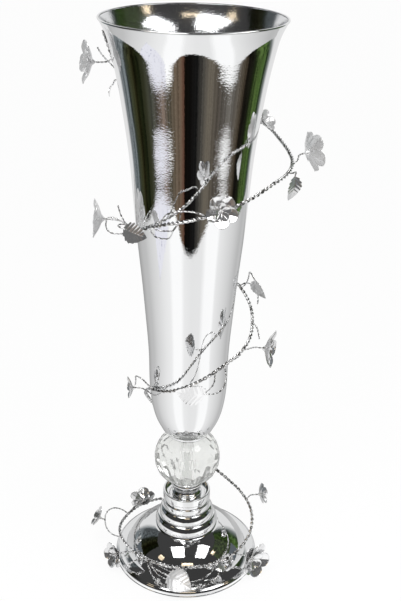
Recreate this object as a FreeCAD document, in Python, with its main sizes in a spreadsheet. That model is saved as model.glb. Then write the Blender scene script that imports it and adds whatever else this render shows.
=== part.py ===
import FreeCAD, Part
import math
import os

import Sketcher

# A tall trumpet vase of mirror-bright spun metal. It stands on a stepped foot, its neck holds a
# faceted crystal ball, and a twisted wire vine with flowers and leaves winds round it from rim to foot.
# Millimetres, +Z up, the vase's axis on Z, the felt's lower face on the table at Z = 0.
# Azimuths are given as a swing: 0 is the right, 90 the front, 180 the left and 270 the back.

os.makedirs("parts", exist_ok=True)
doc = FreeCAD.newDocument("TrumpetVase")

Vector = FreeCAD.Vector
UP = Vector(0, 0, 1)
ORIGIN = Vector(0, 0, 0)

# The driving dimensions.
DIMENSIONS = {
    # foot
    "felt_inset": 9.1, "felt_thickness": 1.5, "rim_lift": 0.5,
    "foot_radius": 94.1, "foot_band_height": 5.5, "brim_inset": 4.1, "brim_height": 10.0,
    "crease_inset": 10.5, "crease_height": 14.0, "dome_radius": 42.0, "foot_height": 50.0,
    "dome_bulge": 4.9, "band_round": 0.9, "foot_wall": 1.2,
    "weight_inset": 4.0, "weight_clearance": 0.5, "hub_radius": 30.0, "hub_height": 18.5,
    "recess_radius": 14.0, "recess_depth": 11.0,
    # stepped neck
    "lower_step_radius": 40.6, "lower_step_top_radius": 36.4, "lower_step_height": 15.5,
    "upper_step_radius": 35.3, "upper_step_top_radius": 30.6, "upper_step_height": 13.0,
    "step_bulge": 1.7, "step_wall": 1.2,
    "collar_radius": 30.5, "lower_collar_height": 8.5, "collar_round": 1.4,
    "spacer_inset": 1.7, "spacer_height": 5.0,
    "upper_collar_height": 10.5, "lip_inset": 2.5, "dish_depth": 6.2, "dish_floor_margin": 0.8,
    # ball and its seats
    "seat_foot_radius": 19.4, "seat_waist_radius": 15.2, "seat_rim_radius": 21.0,
    "seat_foot_height": 4.2, "seat_waist_height": 8.2, "seat_height": 20.5, "seat_rim_height": 3.2,
    "seat_crown_radius": 18.6, "seat_round": 1.4,
    "gasket_thickness": 0.8, "gasket_radius": 15.0,
    "ball_radius": 41.3, "ball_below": 35.0, "ball_above": 34.5, "ball_bore_clearance": 0.3,
    "sleeve_radius": 5.4, "sleeve_inset": 0.3,
    "top_seat_radius": 26.2, "top_seat_foot_radius": 22.6, "top_seat_height": 5.2,
    "top_seat_foot_height": 2.4,
    # trumpet
    "mouth_radius": 100.4, "trumpet_height": 506.5, "trumpet_wall": 1.2, "lip_bead_radius": 1.2,
    # rod and fasteners
    "rod_radius": 4.0, "bore_clearance": 0.25, "thread_clearance": 0.1, "rod_end": 2.6,
    "rod_lift": 2.1, "rod_chamfer": 0.7,
    "seal_radius": 15.0, "seal_thickness": 2.0, "washer_radius": 12.0, "washer_thickness": 1.6,
    "spring_washer_radius": 7.0, "spring_washer_thickness": 2.0, "spring_washer_slot": 1.6,
    "nut_across_flats": 13.0, "nut_height": 6.5,
    # vine
    "vine_wire_radius": 2.2, "twig_radius": 1.05, "vine_reach": 45.0, "vine_clearance": 0.3,
    "large_flower": 48.0, "middle_flower": 36.0, "small_flower": 29.0,
    "petal_thickness": 0.9, "large_leaf": 39.0, "middle_leaf": 31.0, "small_leaf": 17.0,
    "leaf_thickness": 0.8, "calyx_radius": 1.6,
}

sheet = doc.addObject("Spreadsheet::Sheet", "Sizes")
for row, (alias, value) in enumerate(DIMENSIONS.items(), 1):
    sheet.set("A%d" % row, alias.replace("_", " "))
    sheet.set("B%d" % row, str(value))
    sheet.setAlias("B%d" % row, alias)
doc.recompute()
size = {alias: float(sheet.get(alias)) for alias in DIMENSIONS}

made = []

# Levels up the axis, each as the names whose sizes add up to it.
FELT_TOP = ["felt_thickness"]
HUB_TOP = FELT_TOP + ["hub_height"]
RECESS_ROOF = FELT_TOP + ["recess_depth"]
FOOT_TOP = ["foot_height"]
LOWER_STEP_TOP = FOOT_TOP + ["lower_step_height"]
UPPER_STEP_TOP = LOWER_STEP_TOP + ["upper_step_height"]
LOWER_COLLAR_TOP = UPPER_STEP_TOP + ["lower_collar_height"]
SPACER_TOP = LOWER_COLLAR_TOP + ["spacer_height"]
UPPER_COLLAR_TOP = SPACER_TOP + ["upper_collar_height"]
DISH_FLOOR = UPPER_COLLAR_TOP + ["-dish_depth"]
SEAT_TOP = DISH_FLOOR + ["seat_height"]
BALL_BASE = SEAT_TOP + ["gasket_thickness"]
BALL_MIDDLE = BALL_BASE + ["ball_below"]
BALL_TOP = BALL_MIDDLE + ["ball_above"]
TOP_SEAT_BASE = BALL_TOP + ["gasket_thickness"]
TRUMPET_BASE = TOP_SEAT_BASE + ["top_seat_height"]
TRUMPET_FLOOR = TRUMPET_BASE + ["trumpet_wall"]
SEAL_TOP = TRUMPET_FLOOR + ["seal_thickness"]
TOP_WASHER_TOP = SEAL_TOP + ["washer_thickness"]
TOP_NUT_TOP = TOP_WASHER_TOP + ["nut_height"]
ROD_TOP = TOP_NUT_TOP + ["rod_end"]
ROD_BASE = ["rod_lift"]
RIM_TOP = TRUMPET_BASE + ["trumpet_height"]
BORE = ["rod_radius", "bore_clearance"]

# Radii of the foot that follow its widest one, named in the same way.
FELT = ["foot_radius", "-felt_inset"]
BRIM = ["foot_radius", "-brim_inset"]
CREASE = BRIM + ["-crease_inset"]
WEIGHT = BRIM + ["-weight_inset"]

# The dish's flat floor, a margin wider than the seat that stands on it.
DISH_FLOOR_RADIUS = ["seat_foot_radius", "dish_floor_margin"]

# The collars' lip and the groove between them, set in from the collars' side.
LIP_RADIUS = ["collar_radius", "-lip_inset"]
SPACER_RADIUS = ["collar_radius", "-spacer_inset"]


def level(names):
    """The sum of the named sizes; a name that starts with a minus is taken away."""
    return sum(-size[name[1:]] if name.startswith("-") else size[name] for name in names)


def formula(names):
    """The same sum as a formula of the sheet's cells."""
    text = ""
    for name in names:
        if name.startswith("-"):
            text += " - Sizes." + name[1:]
        else:
            text += " + Sizes." + name
    return text[3:]


def keep(obj, label):
    """Give the finished piece the label that names its file."""
    obj.Label = label
    made.append(obj)
    return obj


def keep_shape(label, shape):
    """Make a piece whose shape was worked out with the geometry functions."""
    obj = doc.addObject("Part::Feature", label)
    obj.Shape = shape
    return keep(obj, label)


def cylinder(label, radius, height, base=()):
    """A cylinder on the axis, bound to the sheet."""
    obj = doc.addObject("Part::Cylinder", label)
    obj.setExpression("Radius", formula(radius))
    obj.setExpression("Height", formula(height))
    if base:
        obj.setExpression("Placement.Base.z", formula(base))
    return obj


def ring(label, outer, inner, height, base):
    """A flat ring: a cylinder with a bore, bound to the sheet."""
    blank = cylinder(label + "_blank", outer, height, base)
    bore = cylinder(label + "_bore", inner, height, base)
    obj = doc.addObject("Part::Cut", label)
    obj.Base = blank
    obj.Tool = bore
    return keep(obj, label)


def plane_of(body, role):
    """One of the origin planes or axes of a body, by its role."""
    return [item for item in body.Origin.OriginFeatures if item.Role == role][0]


def turned(label, corners, rounds=()):
    """A lathe-turned piece: a closed outline of (radius, height) names, spun round the axis.

    rounds lists (radius names, height names, fillet name) for edges that are eased.
    """
    body = doc.addObject("PartDesign::Body", label)
    sketch = body.newObject("Sketcher::SketchObject", label + "_outline")
    sketch.AttachmentSupport = (plane_of(body, "XZ_Plane"), [""])
    sketch.MapMode = "FlatFace"
    points = [Vector(level(across), level(height), 0) for across, height in corners]
    count = len(points)
    for index, point in enumerate(points):
        sketch.addGeometry(Part.LineSegment(point, points[(index + 1) % count]), False)
    for index in range(count):
        sketch.addConstraint(Sketcher.Constraint("Coincident", index, 2, (index + 1) % count, 1))
    for index, (across, height) in enumerate(corners):
        for kind, names in (("DistanceX", across), ("DistanceY", height)):
            number = sketch.addConstraint(Sketcher.Constraint(kind, -1, 1, index, 1, level(names)))
            sketch.setExpression("Constraints[%d]" % number, formula(names))
    doc.recompute()
    spin = body.newObject("PartDesign::Revolution", label + "_spin")
    spin.Profile = sketch
    spin.ReferenceAxis = (sketch, ["V_Axis"])
    spin.Angle = 360.0
    doc.recompute()
    for order, (across, height, fillet) in enumerate(rounds):
        last = body.Tip
        names = edges_at(last.Shape, level(across), level(height))
        ease = body.newObject("PartDesign::Fillet", "%s_round_%d" % (label, order))
        ease.Base = (last, names)
        ease.setExpression("Radius", "Sizes." + fillet)
        doc.recompute()
    return keep(body, label)


def edges_at(shape, radius, height):
    """Names of the round edges of a shape at one radius and height."""
    tolerance = 1e-4
    found = []
    for number, edge in enumerate(shape.Edges, 1):
        curve = edge.Curve
        if isinstance(curve, Part.Circle) and abs(curve.Radius - radius) < tolerance \
                and abs(curve.Center.z - height) < tolerance:
            found.append("Edge%d" % number)
    return found


def spun(edges):
    """The solid that a closed outline of edges in the XZ plane sweeps round the axis."""
    face = Part.Face(Part.Wire(Part.__sortEdges__(edges)))
    return face.revolve(ORIGIN, UP, 360.0)


def chain(points):
    """Straight edges through a list of (radius, height) points."""
    corners = [Vector(across, 0, height) for across, height in points]
    return [Part.makeLine(first, second) for first, second in zip(corners, corners[1:])]


def bulged(start, end, bulge):
    """An arc between two (radius, height) points that swells outwards by the bulge."""
    first, last = Vector(start[0], 0, start[1]), Vector(end[0], 0, end[1])
    along = (last - first).normalize()
    outwards = Vector(along.z, 0, -along.x)
    if outwards.x < 0:
        outwards = -outwards
    middle = (first + last) * 0.5 + outwards * bulge
    return Part.Arc(first, middle, last).toShape()


# Foot

def foot_dome():
    """The spun foot: a low band, a brim, a crease and a dome with a flat crown for the neck."""
    wall = size["foot_wall"]
    bore = level(BORE)
    lift, crown = size["rim_lift"], level(FOOT_TOP)
    band = (size["foot_radius"], size["foot_band_height"])
    brim = (level(BRIM), size["brim_height"])
    crease = (level(CREASE), size["crease_height"])
    shoulder = (size["dome_radius"], crown)
    inner_band = (band[0] - wall, band[1])
    inner_brim = (brim[0] - wall / 2, brim[1] - wall)
    inner_crease = (crease[0] - wall / 2, crease[1] - wall)
    inner_shoulder = (shoulder[0], crown - wall)
    edges = chain([(band[0], lift), band])
    edges.append(bulged(band, brim, size["band_round"]))
    edges += chain([brim, crease])
    edges.append(bulged(crease, shoulder, size["dome_bulge"]))
    edges += chain([shoulder, (bore, crown), (bore, crown - wall), inner_shoulder])
    edges.append(bulged(inner_crease, inner_shoulder, size["dome_bulge"]))
    edges += chain([inner_crease, inner_brim])
    edges.append(bulged(inner_band, inner_brim, size["band_round"]))
    edges += chain([inner_band, (inner_band[0], lift), (band[0], lift)])
    return keep_shape("foot_dome", spun(edges))


def base_weight():
    """The cast weight in the foot: a disc with a hub, a recess for the nut and a bore for the rod.

    The disc's rim stops a clearance under the sheet between brim and crease.
    """
    body = doc.addObject("PartDesign::Body", "base_weight")
    disc_height = ("Sizes.brim_height - Sizes.foot_wall - Sizes.felt_thickness - Sizes.weight_clearance"
                   " + (Sizes.crease_height - Sizes.brim_height) * Sizes.weight_inset / Sizes.crease_inset")

    def disc_sketch(name, radius, base):
        sketch = body.newObject("Sketcher::SketchObject", name)
        sketch.AttachmentSupport = (plane_of(body, "XY_Plane"), [""])
        sketch.MapMode = "FlatFace"
        sketch.setExpression("AttachmentOffset.Base.z", formula(base))
        sketch.addGeometry(Part.Circle(ORIGIN, UP, level(radius)), False)
        sketch.addConstraint(Sketcher.Constraint("Coincident", 0, 3, -1, 1))
        number = sketch.addConstraint(Sketcher.Constraint("Radius", 0, level(radius)))
        sketch.setExpression("Constraints[%d]" % number, formula(radius))
        doc.recompute()
        return sketch

    for name, radius, length in (("disc", WEIGHT, disc_height), ("hub", ["hub_radius"], "Sizes.hub_height")):
        pad = body.newObject("PartDesign::Pad", "weight_" + name)
        pad.Profile = disc_sketch("weight_%s_outline" % name, radius, FELT_TOP)
        pad.setExpression("Length", length)
        doc.recompute()
    for name, radius, length in (("recess", ["recess_radius"], "recess_depth"),
                                 ("bore", BORE, "hub_height")):
        pocket = body.newObject("PartDesign::Pocket", "weight_" + name)
        pocket.Profile = disc_sketch("weight_%s_outline" % name, radius, FELT_TOP)
        pocket.setExpression("Length", "Sizes." + length)
        pocket.Reversed = True
        before = pad.Shape.Volume
        doc.recompute()
        if pocket.Shape.Volume >= before:
            raise RuntimeError("the %s of the weight cuts nothing" % name)
    return keep(body, "base_weight")


def step_cup(label, base_radius, top_radius, base, top):
    """A spun cup, mouth down: a flat crown on a bulged skirt."""
    wall, bore = size["step_wall"], level(BORE)
    low, high = level(base), level(top)
    foot, crown = (base_radius, low), (top_radius, high)
    inner_foot, inner_crown = (base_radius - wall, low), (top_radius - wall, high - wall)
    edges = [bulged(foot, crown, size["step_bulge"])]
    edges += chain([crown, (bore, high), (bore, high - wall), inner_crown])
    edges.append(bulged(inner_foot, inner_crown, size["step_bulge"]))
    edges += chain([inner_foot, foot])
    return keep_shape(label, spun(edges))


def upper_collar():
    """The dished collar: a ring with a thin lip and a shallow bowl that mirrors the ball."""
    bore, base, top = level(BORE), level(SPACER_TOP), level(UPPER_COLLAR_TOP)
    floor = level(DISH_FLOOR)
    ease = size["collar_round"]
    outer, lip = size["collar_radius"], level(LIP_RADIUS)
    rim_out, rim_in = (outer, top - ease), (lip, top)
    floor_edge = (level(DISH_FLOOR_RADIUS), floor)
    edges = chain([(bore, base), (outer - ease, base)])
    edges.append(bulged((outer - ease, base), (outer, base + ease), ease / 4))
    edges += chain([(outer, base + ease), rim_out])
    edges.append(bulged(rim_out, rim_in, ease / 4))
    middle = Vector((lip + floor_edge[0]) / 2 + ease, 0, floor + (top - floor) * 0.3)
    edges.append(Part.Arc(Vector(lip, 0, top), middle, Vector(floor_edge[0], 0, floor)).toShape())
    edges += chain([floor_edge, (bore, floor), (bore, base)])
    return keep_shape("upper_collar", spun(edges))


# The ball's rows of facets from below: latitude in degrees, distance as a share of the ball's radius.
BALL_ROW_SHARES = ((-54, 0.925), (-36, 1.0), (-18, 1.0), (0, 1.0), (18, 1.0), (36, 1.0), (54, 0.975))


def facet_ball():
    """The crystal ball: flat facets in staggered rows, cut flat at both poles and bored."""
    radius = size["ball_radius"]
    around = 16
    planes = []
    for row, (latitude, share) in enumerate(BALL_ROW_SHARES):
        tilt = math.radians(latitude)
        for step in range(around):
            turn = 2 * math.pi * (step + 0.5 * (row % 2)) / around
            normal = Vector(math.cos(tilt) * math.cos(turn), math.cos(tilt) * math.sin(turn), math.sin(tilt))
            planes.append((normal, radius * share * math.cos(math.pi / around) ** 0.5))
    planes.append((UP, size["ball_above"]))
    planes.append((-UP, size["ball_below"]))
    faces = [Part.Face(Part.makePolygon(outline + outline[:1])) for outline in
             (clipped(plane, planes, 2 * radius) for plane in planes) if len(outline) > 2]
    shell = Part.makeShell(faces)
    shell.sewShape()
    ball = Part.Solid(shell)
    ball.translate(Vector(0, 0, level(BALL_MIDDLE)))
    bore_radius = size["sleeve_radius"] + size["ball_bore_clearance"]
    bore = Part.makeCylinder(bore_radius, 2 * radius, Vector(0, 0, level(BALL_MIDDLE) - radius))
    return keep_shape("crystal_ball", ball.cut(bore))


def clipped(plane, planes, reach):
    """The outline that the other planes leave of one plane, as points in order."""
    normal, distance = plane
    aside = normal.cross(UP if abs(normal.z) < 0.9 else Vector(1, 0, 0)).normalize()
    upward = normal.cross(aside)
    centre = normal * distance
    outline = [centre + aside * (reach * a) + upward * (reach * b)
               for a, b in ((1, 1), (-1, 1), (-1, -1), (1, -1))]
    for other, limit in planes:
        if other is normal:
            continue
        kept = []
        for first, second in zip(outline, outline[1:] + outline[:1]):
            start, end = first.dot(other) - limit, second.dot(other) - limit
            if start <= 0:
                kept.append(first)
            if (start < 0 < end) or (end < 0 < start):
                kept.append(first + (second - first) * (start / (start - end)))
        outline = kept
        if len(outline) < 3:
            break
    return outline


# Trumpet

# The outside of the trumpet from its flat floor to its lip: share of the mouth's radius,
# share of the trumpet's height.
TRUMPET_SHARES = (
    (0.240, 0.0), (0.272, 0.0009), (0.298, 0.0037), (0.318, 0.0100), (0.382, 0.036), (0.436, 0.072), (0.472, 0.130),
    (0.481, 0.210), (0.514, 0.309), (0.556, 0.408), (0.605, 0.506), (0.647, 0.605),
    (0.687, 0.703), (0.751, 0.802), (0.816, 0.881), (0.869, 0.931), (0.928, 0.971))


# The lip's heading where the sheet meets the rolled bead, as an outward and an upward share.
LIP_HEADING_SHARES = (0.42, 0.91)


def lip_seat():
    """The middle of the rolled bead, the sheet's heading there and the sheet's end under the bead."""
    bead, wall = size["lip_bead_radius"], size["trumpet_wall"]
    middle = Vector(size["mouth_radius"] - bead, 0, level(RIM_TOP) - bead)
    onward = Vector(LIP_HEADING_SHARES[0], 0, LIP_HEADING_SHARES[1]).normalize()
    return middle, onward, middle - onward * math.sqrt(bead ** 2 - (wall / 2) ** 2)


def trumpet_points(inset):
    """The trumpet's outline as points, moved inwards by the inset, square to the outline."""
    base = level(TRUMPET_BASE)
    outer = [Vector(size["mouth_radius"] * across, 0, base + size["trumpet_height"] * up)
             for across, up in TRUMPET_SHARES]
    onward, end = lip_seat()[1:]
    outer.append(end + Vector(onward.z, 0, -onward.x) * (size["trumpet_wall"] / 2))
    if not inset:
        return outer
    curve = trumpet_curve(0)
    moved = [outer[0] + UP * inset]
    for point in outer[1:-1]:
        along = curve.tangent(curve.parameter(point))[0]
        moved.append(point + Vector(-along.z, 0, along.x) * inset)
    return moved + [outer[-1] + Vector(-onward.z, 0, onward.x) * inset]


def trumpet_curve(inset):
    """A smooth curve through the trumpet's outline points."""
    curve = Part.BSplineCurve()
    curve.interpolate(trumpet_points(inset))
    return curve


def trumpet_body():
    """The trumpet: one thin spun sheet with a bolt hole in its floor and a rolled lip."""
    outer, inner = trumpet_curve(0), trumpet_curve(size["trumpet_wall"])
    base, floor, bore = level(TRUMPET_BASE), level(TRUMPET_FLOOR), level(BORE)
    middle, onward = lip_seat()[:2]
    crest = middle + onward * size["lip_bead_radius"]
    edges = [outer.toShape(), Part.Arc(outer.EndPoint, crest, inner.EndPoint).toShape(), inner.toShape()]
    edges.append(Part.makeLine(inner.StartPoint, Vector(bore, 0, floor)))
    edges.append(Part.makeLine(Vector(bore, 0, floor), Vector(bore, 0, base)))
    edges.append(Part.makeLine(Vector(bore, 0, base), outer.StartPoint))
    return keep_shape("trumpet_body", spun(edges))


TRUMPET_TRACE = [(point.x, point.z) for point in trumpet_curve(0).toShape().discretize(400)]


def trumpet_radius(height):
    """The trumpet's outer radius at a height."""
    for (low_radius, low), (high_radius, high) in zip(TRUMPET_TRACE, TRUMPET_TRACE[1:]):
        if low <= height <= high:
            return low_radius + (high_radius - low_radius) * (height - low) / (high - low)
    return TRUMPET_TRACE[-1][0] if height > TRUMPET_TRACE[-1][1] else 0.0


def dome_height(radius):
    """The height of the foot's dome and brim at a radius."""
    brim = (level(BRIM), size["brim_height"])
    crease = (level(CREASE), size["crease_height"])
    shoulder = (size["dome_radius"], level(FOOT_TOP))
    trace = [(brim[0], brim[1]), crease]
    arc = bulged(crease, shoulder, size["dome_bulge"]).discretize(60)
    if arc[0].x < arc[-1].x:
        arc.reverse()
    trace += [(point.x, point.z) for point in arc]
    for (wide, low), (narrow, high) in zip(trace, trace[1:]):
        if narrow <= radius <= wide:
            return low + (high - low) * (wide - radius) / (wide - narrow) if wide > narrow else low
    return 0.0 if radius > brim[0] else shoulder[1]


# Rod and fasteners

def tie_rod():
    """The threaded rod that clamps foot, neck, ball and trumpet together."""
    rod = cylinder("tie_rod_blank", ["rod_radius"], ROD_TOP + ["-rod_lift"], ROD_BASE)
    doc.recompute()
    ends = [int(name[4:]) for high in (level(ROD_TOP), level(ROD_BASE))
            for name in edges_at(rod.Shape, size["rod_radius"], high)]
    obj = doc.addObject("Part::Chamfer", "tie_rod")
    obj.Base = rod
    obj.Edges = [(number, size["rod_chamfer"], size["rod_chamfer"]) for number in ends]
    return keep(obj, "tie_rod")


def hex_nut(label, base):
    """A hexagon nut with eased corners on both faces."""
    blank = doc.addObject("Part::Prism", label + "_blank")
    blank.Polygon = 6
    blank.setExpression("Circumradius", "Sizes.nut_across_flats / 2 / cos(30)")
    blank.setExpression("Height", "Sizes.nut_height")
    blank.setExpression("Placement.Base.z", formula(base))
    ease = doc.addObject("Part::Sphere", label + "_ease")
    ease.setExpression("Radius", "sqrt((Sizes.nut_across_flats / 2) ^ 2 * 1.12 + (Sizes.nut_height / 2) ^ 2)")
    ease.setExpression("Placement.Base.z", formula(base) + " + Sizes.nut_height / 2")
    body = doc.addObject("Part::Common", label + "_body")
    body.Base = blank
    body.Tool = ease
    bore = cylinder(label + "_bore", ["rod_radius", "thread_clearance"], ["nut_height"], base)
    obj = doc.addObject("Part::Cut", label)
    obj.Base = body
    obj.Tool = bore
    return keep(obj, label)


def spring_washer():
    """A split spring washer, pressed flat."""
    base = RECESS_ROOF + ["-washer_thickness", "-spring_washer_thickness"]
    blank = cylinder("spring_washer_blank", ["spring_washer_radius"], ["spring_washer_thickness"], base)
    bore = cylinder("spring_washer_bore", BORE, ["spring_washer_thickness"], base)
    closed = doc.addObject("Part::Cut", "spring_washer_ring")
    closed.Base = blank
    closed.Tool = bore
    slot = doc.addObject("Part::Box", "spring_washer_slot_cutter")
    slot.setExpression("Length", "Sizes.spring_washer_radius * 2")
    slot.setExpression("Width", "Sizes.spring_washer_slot")
    slot.setExpression("Height", "Sizes.spring_washer_thickness")
    slot.setExpression("Placement.Base.y", "-Sizes.spring_washer_slot / 2")
    slot.setExpression("Placement.Base.z", formula(base))
    obj = doc.addObject("Part::Cut", "spring_washer")
    obj.Base = closed
    obj.Tool = slot
    return keep(obj, "spring_washer")


# Vine

def around(swing, radius, height):
    """The point at a swing, a radius and a height."""
    turn = math.radians(swing)
    return Vector(radius * math.cos(turn), -radius * math.sin(turn), height)


def heading(swing, outwards, onwards, upwards):
    """A direction at a swing from its outward, onward and upward parts."""
    turn = math.radians(swing)
    out = Vector(math.cos(turn), -math.sin(turn), 0)
    on = Vector(-math.sin(turn), -math.cos(turn), 0)
    return (out * outwards + on * onwards + UP * upwards).normalize()


def by_trumpet(swing, gap_share, height_share):
    """A place beside the trumpet: gap as a share of the vine's reach, height of the whole height."""
    height = level(RIM_TOP) * height_share
    return swing, trumpet_radius(height) + size["vine_reach"] * gap_share, height


# The height of the foot's crease as a share of the foot's height, as the vine's tables take it.
CREASE_HEIGHT_SHARE = 0.28


def by_foot(swing, radius_share, height_share):
    """A place beside the foot and neck: shares of the foot's radius and height, measured from the crease."""
    height = size["crease_height"] + level(FOOT_TOP) * (height_share - CREASE_HEIGHT_SHARE)
    return swing, size["foot_radius"] * radius_share, height


# The main stem from the rim down: swing, gap share, height share.
STEM_BESIDE_TRUMPET_SHARES = (
    (-176.0, 0.04, 0.9757), (-170.5, 0.04, 0.9290), (-165.0, 0.05, 0.9090), (-150.0, 0.11, 0.8800),
    (-128.0, 0.28, 0.8580), (-105.0, 0.58, 0.8450), (-82.0, 0.88, 0.8350), (-60.0, 1.04, 0.8240),
    (-42.0, 1.02, 0.8090), (-23.0, 0.89, 0.7975), (-5.0, 0.87, 0.7920), (12.0, 0.95, 0.7875),
    (27.0, 1.00, 0.7823), (42.0, 0.98, 0.7757), (57.0, 0.95, 0.7610), (72.0, 0.84, 0.7445),
    (93.0, 0.53, 0.7240), (116.0, 0.22, 0.7050), (143.0, 0.04, 0.6830), (168.0, 0.04, 0.6660),
    (190.0, 0.10, 0.6515), (215.0, 0.25, 0.6340), (240.0, 0.44, 0.6135), (265.0, 0.62, 0.5875),
    (290.0, 0.75, 0.5560), (312.0, 0.76, 0.5270), (333.0, 0.68, 0.5065), (358.0, 0.56, 0.4887),
    (388.0, 0.55, 0.4730), (415.0, 0.53, 0.4575), (439.0, 0.48, 0.4335), (453.0, 0.38, 0.4185),
    (471.0, 0.23, 0.4013), (495.0, 0.09, 0.3875), (518.0, 0.04, 0.3760), (540.0, 0.12, 0.3560),
    (565.0, 0.32, 0.3240))
# The main stem behind the ball and round the foot: swing, share of the foot's radius and height.
STEM_BESIDE_FOOT_SHARES = (
    (590.0, 0.675, 3.90), (615.0, 0.700, 3.14), (640.0, 0.730, 2.26), (662.0, 0.765, 1.80),
    (678.0, 0.800, 1.60), (694.0, 0.855, 1.44), (710.0, 0.915, 1.26), (724.0, 0.932, 1.09),
    (738.0, 0.915, 0.93), (756.0, 0.868, 0.77), (773.0, 0.820, 0.66), (792.0, 0.772, 0.565),
    (810.0, 0.766, 0.53), (826.0, 0.774, 0.52), (843.0, 0.778, 0.53), (868.0, 0.815, 0.55),
    (888.0, 0.890, 0.56), (905.0, 0.955, 0.56), (928.0, 0.945, 0.55), (950.0, 0.930, 0.53),
    (966.0, 0.900, 0.51))


def stem_rows():
    """The main stem's places as (swing, radius, height) rows."""
    rows = [by_trumpet(*row) for row in STEM_BESIDE_TRUMPET_SHARES]
    return rows + [by_foot(*row) for row in STEM_BESIDE_FOOT_SHARES]


def eased(rows, column, swing):
    """A smooth value between rows: a cubic through the rows with slopes from their neighbours."""
    index = max(number for number, row in enumerate(rows[:-1]) if row[0] <= swing + 1e-9)
    before, after = rows[index], rows[index + 1]

    def slope(number):
        low, high = rows[max(number - 1, 0)], rows[min(number + 1, len(rows) - 1)]
        return (high[column] - low[column]) / (high[0] - low[0])

    run = after[0] - before[0]
    share = (swing - before[0]) / run
    start, end = slope(index) * run, slope(index + 1) * run
    square, cube = share * share, share * share * share
    return (before[column] * (2 * cube - 3 * square + 1) + start * (cube - 2 * square + share)
            + after[column] * (3 * square - 2 * cube) + end * (cube - square))


STEM_ROWS = stem_rows()
STEM_STEP_DEGREES = 8.0


def stem_point(swing):
    """A point on the main stem's centre line, never closer to the body than its clearance."""
    swing = min(max(swing, STEM_ROWS[0][0]), STEM_ROWS[-1][0])
    radius, height = eased(STEM_ROWS, 1, swing), eased(STEM_ROWS, 2, swing)
    spare = size["vine_wire_radius"] + size["vine_clearance"]
    chord = math.cos(math.radians(STEM_STEP_DEGREES / 2))
    if height > level(TRUMPET_BASE):
        probe = size["trumpet_wall"]
        lean = (trumpet_radius(height + probe) - trumpet_radius(height - probe)) / (2 * probe)
        nearest = trumpet_radius(height) + spare * math.hypot(1, lean)
        radius = max(radius, nearest / chord)
    elif height < level(FOOT_TOP) * 1.2:
        probe = size["foot_wall"]
        fall = (dome_height(radius - probe) - dome_height(radius + probe)) / (2 * probe)
        height = max(height, dome_height(radius * chord - spare * 0.2) + spare * math.hypot(1, fall))
    return around(swing, radius, height)


def stem_points(first, last):
    """Points of the main stem between two swings; both ends lie halfway along a run."""
    count = round((last - first) / STEM_STEP_DEGREES)
    step = (last - first) / count
    swings = [first + step * (number + 0.5) for number in range(-1, count + 1)]
    points = [stem_point(swing) for swing in swings]
    start = (points[0] + points[1]) * 0.5
    end = (points[-2] + points[-1]) * 0.5
    return [start] + points[1:-1] + [end]


def tube(points, radius):
    """A round wire along straight runs joined by arcs that touch them."""
    edges, here = [], points[0]
    runs = [(second - first).Length for first, second in zip(points, points[1:])]
    for index in range(1, len(points) - 1):
        corner = points[index]
        arriving = (corner - points[index - 1]).normalize()
        leaving = (points[index + 1] - corner).normalize()
        turn = arriving.getAngle(leaving)
        if turn < 1e-3:
            continue
        reach = 0.45 * min(runs[index - 1], runs[index])
        start, end = corner - arriving * reach, corner + leaving * reach
        bisector = (leaving - arriving).normalize()
        bend = reach / math.tan(turn / 2)
        middle = corner + bisector * (bend / math.cos(turn / 2) - bend)
        edges.append(Part.makeLine(here, start))
        edges.append(Part.Arc(start, middle, end).toShape())
        here = end
    edges.append(Part.makeLine(here, points[-1]))
    path = Part.Wire(edges)
    profile = Part.Wire(Part.makeCircle(radius, points[0], points[1] - points[0]))
    return path.makePipeShell([profile], True, False)


def bent_points(start, start_heading, end, end_heading, reach, count):
    """Points along a smooth bend that leaves and arrives in two given directions."""
    first, last = start + start_heading * reach, end - end_heading * reach
    points = []
    for number in range(count + 1):
        share = number / count
        rest = 1 - share
        points.append(start * rest ** 3 + first * (3 * rest ** 2 * share)
                      + last * (3 * rest * share ** 2) + end * share ** 3)
    return points


TWIG_POINTS = 5


def twig(root, leaving, place, facing):
    """A twig to the back of a flower or the foot of a leaf.

    root is a swing on the main stem or, for a twig on a bow, a place.
    """
    on_bow = isinstance(root, tuple)
    start = around(*root) if on_bow else stem_point(root)
    end = around(*place)
    reach = (end - start).Length * 0.45
    points = bent_points(start, heading(root[0] if on_bow else root, *leaving), end, facing, reach, TWIG_POINTS)
    straight = (points[-1] - points[-2]).Length
    points.insert(-1, end - facing * min(straight * 0.4, 2 * size["twig_radius"]))
    return tube(points, size["twig_radius"])


BOW_POINTS = 4


def bow(first, leaving, crest, passing, last, arriving):
    """A wire that leaves the main stem, passes its crest and comes back to the stem, or ends at a place."""
    to_place = isinstance(last, tuple)
    start, middle = stem_point(first), around(*crest)
    end = around(*last) if to_place else stem_point(last)
    there = heading(crest[0], *passing)
    half = bent_points(start, heading(first, *leaving), middle, there,
                       (middle - start).Length * 0.45, BOW_POINTS)
    rest = bent_points(middle, there, end, heading(last[0] if to_place else last, *arriving),
                       (end - middle).Length * 0.45, BOW_POINTS)
    return tube(half + rest[1:], size["twig_radius"])


# Flowers and leaves, each with its own table of places.

# The loop at the foot's left that carries a small flower.
LOOP_CREST = by_foot(906, 1.170, 0.80)

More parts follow.
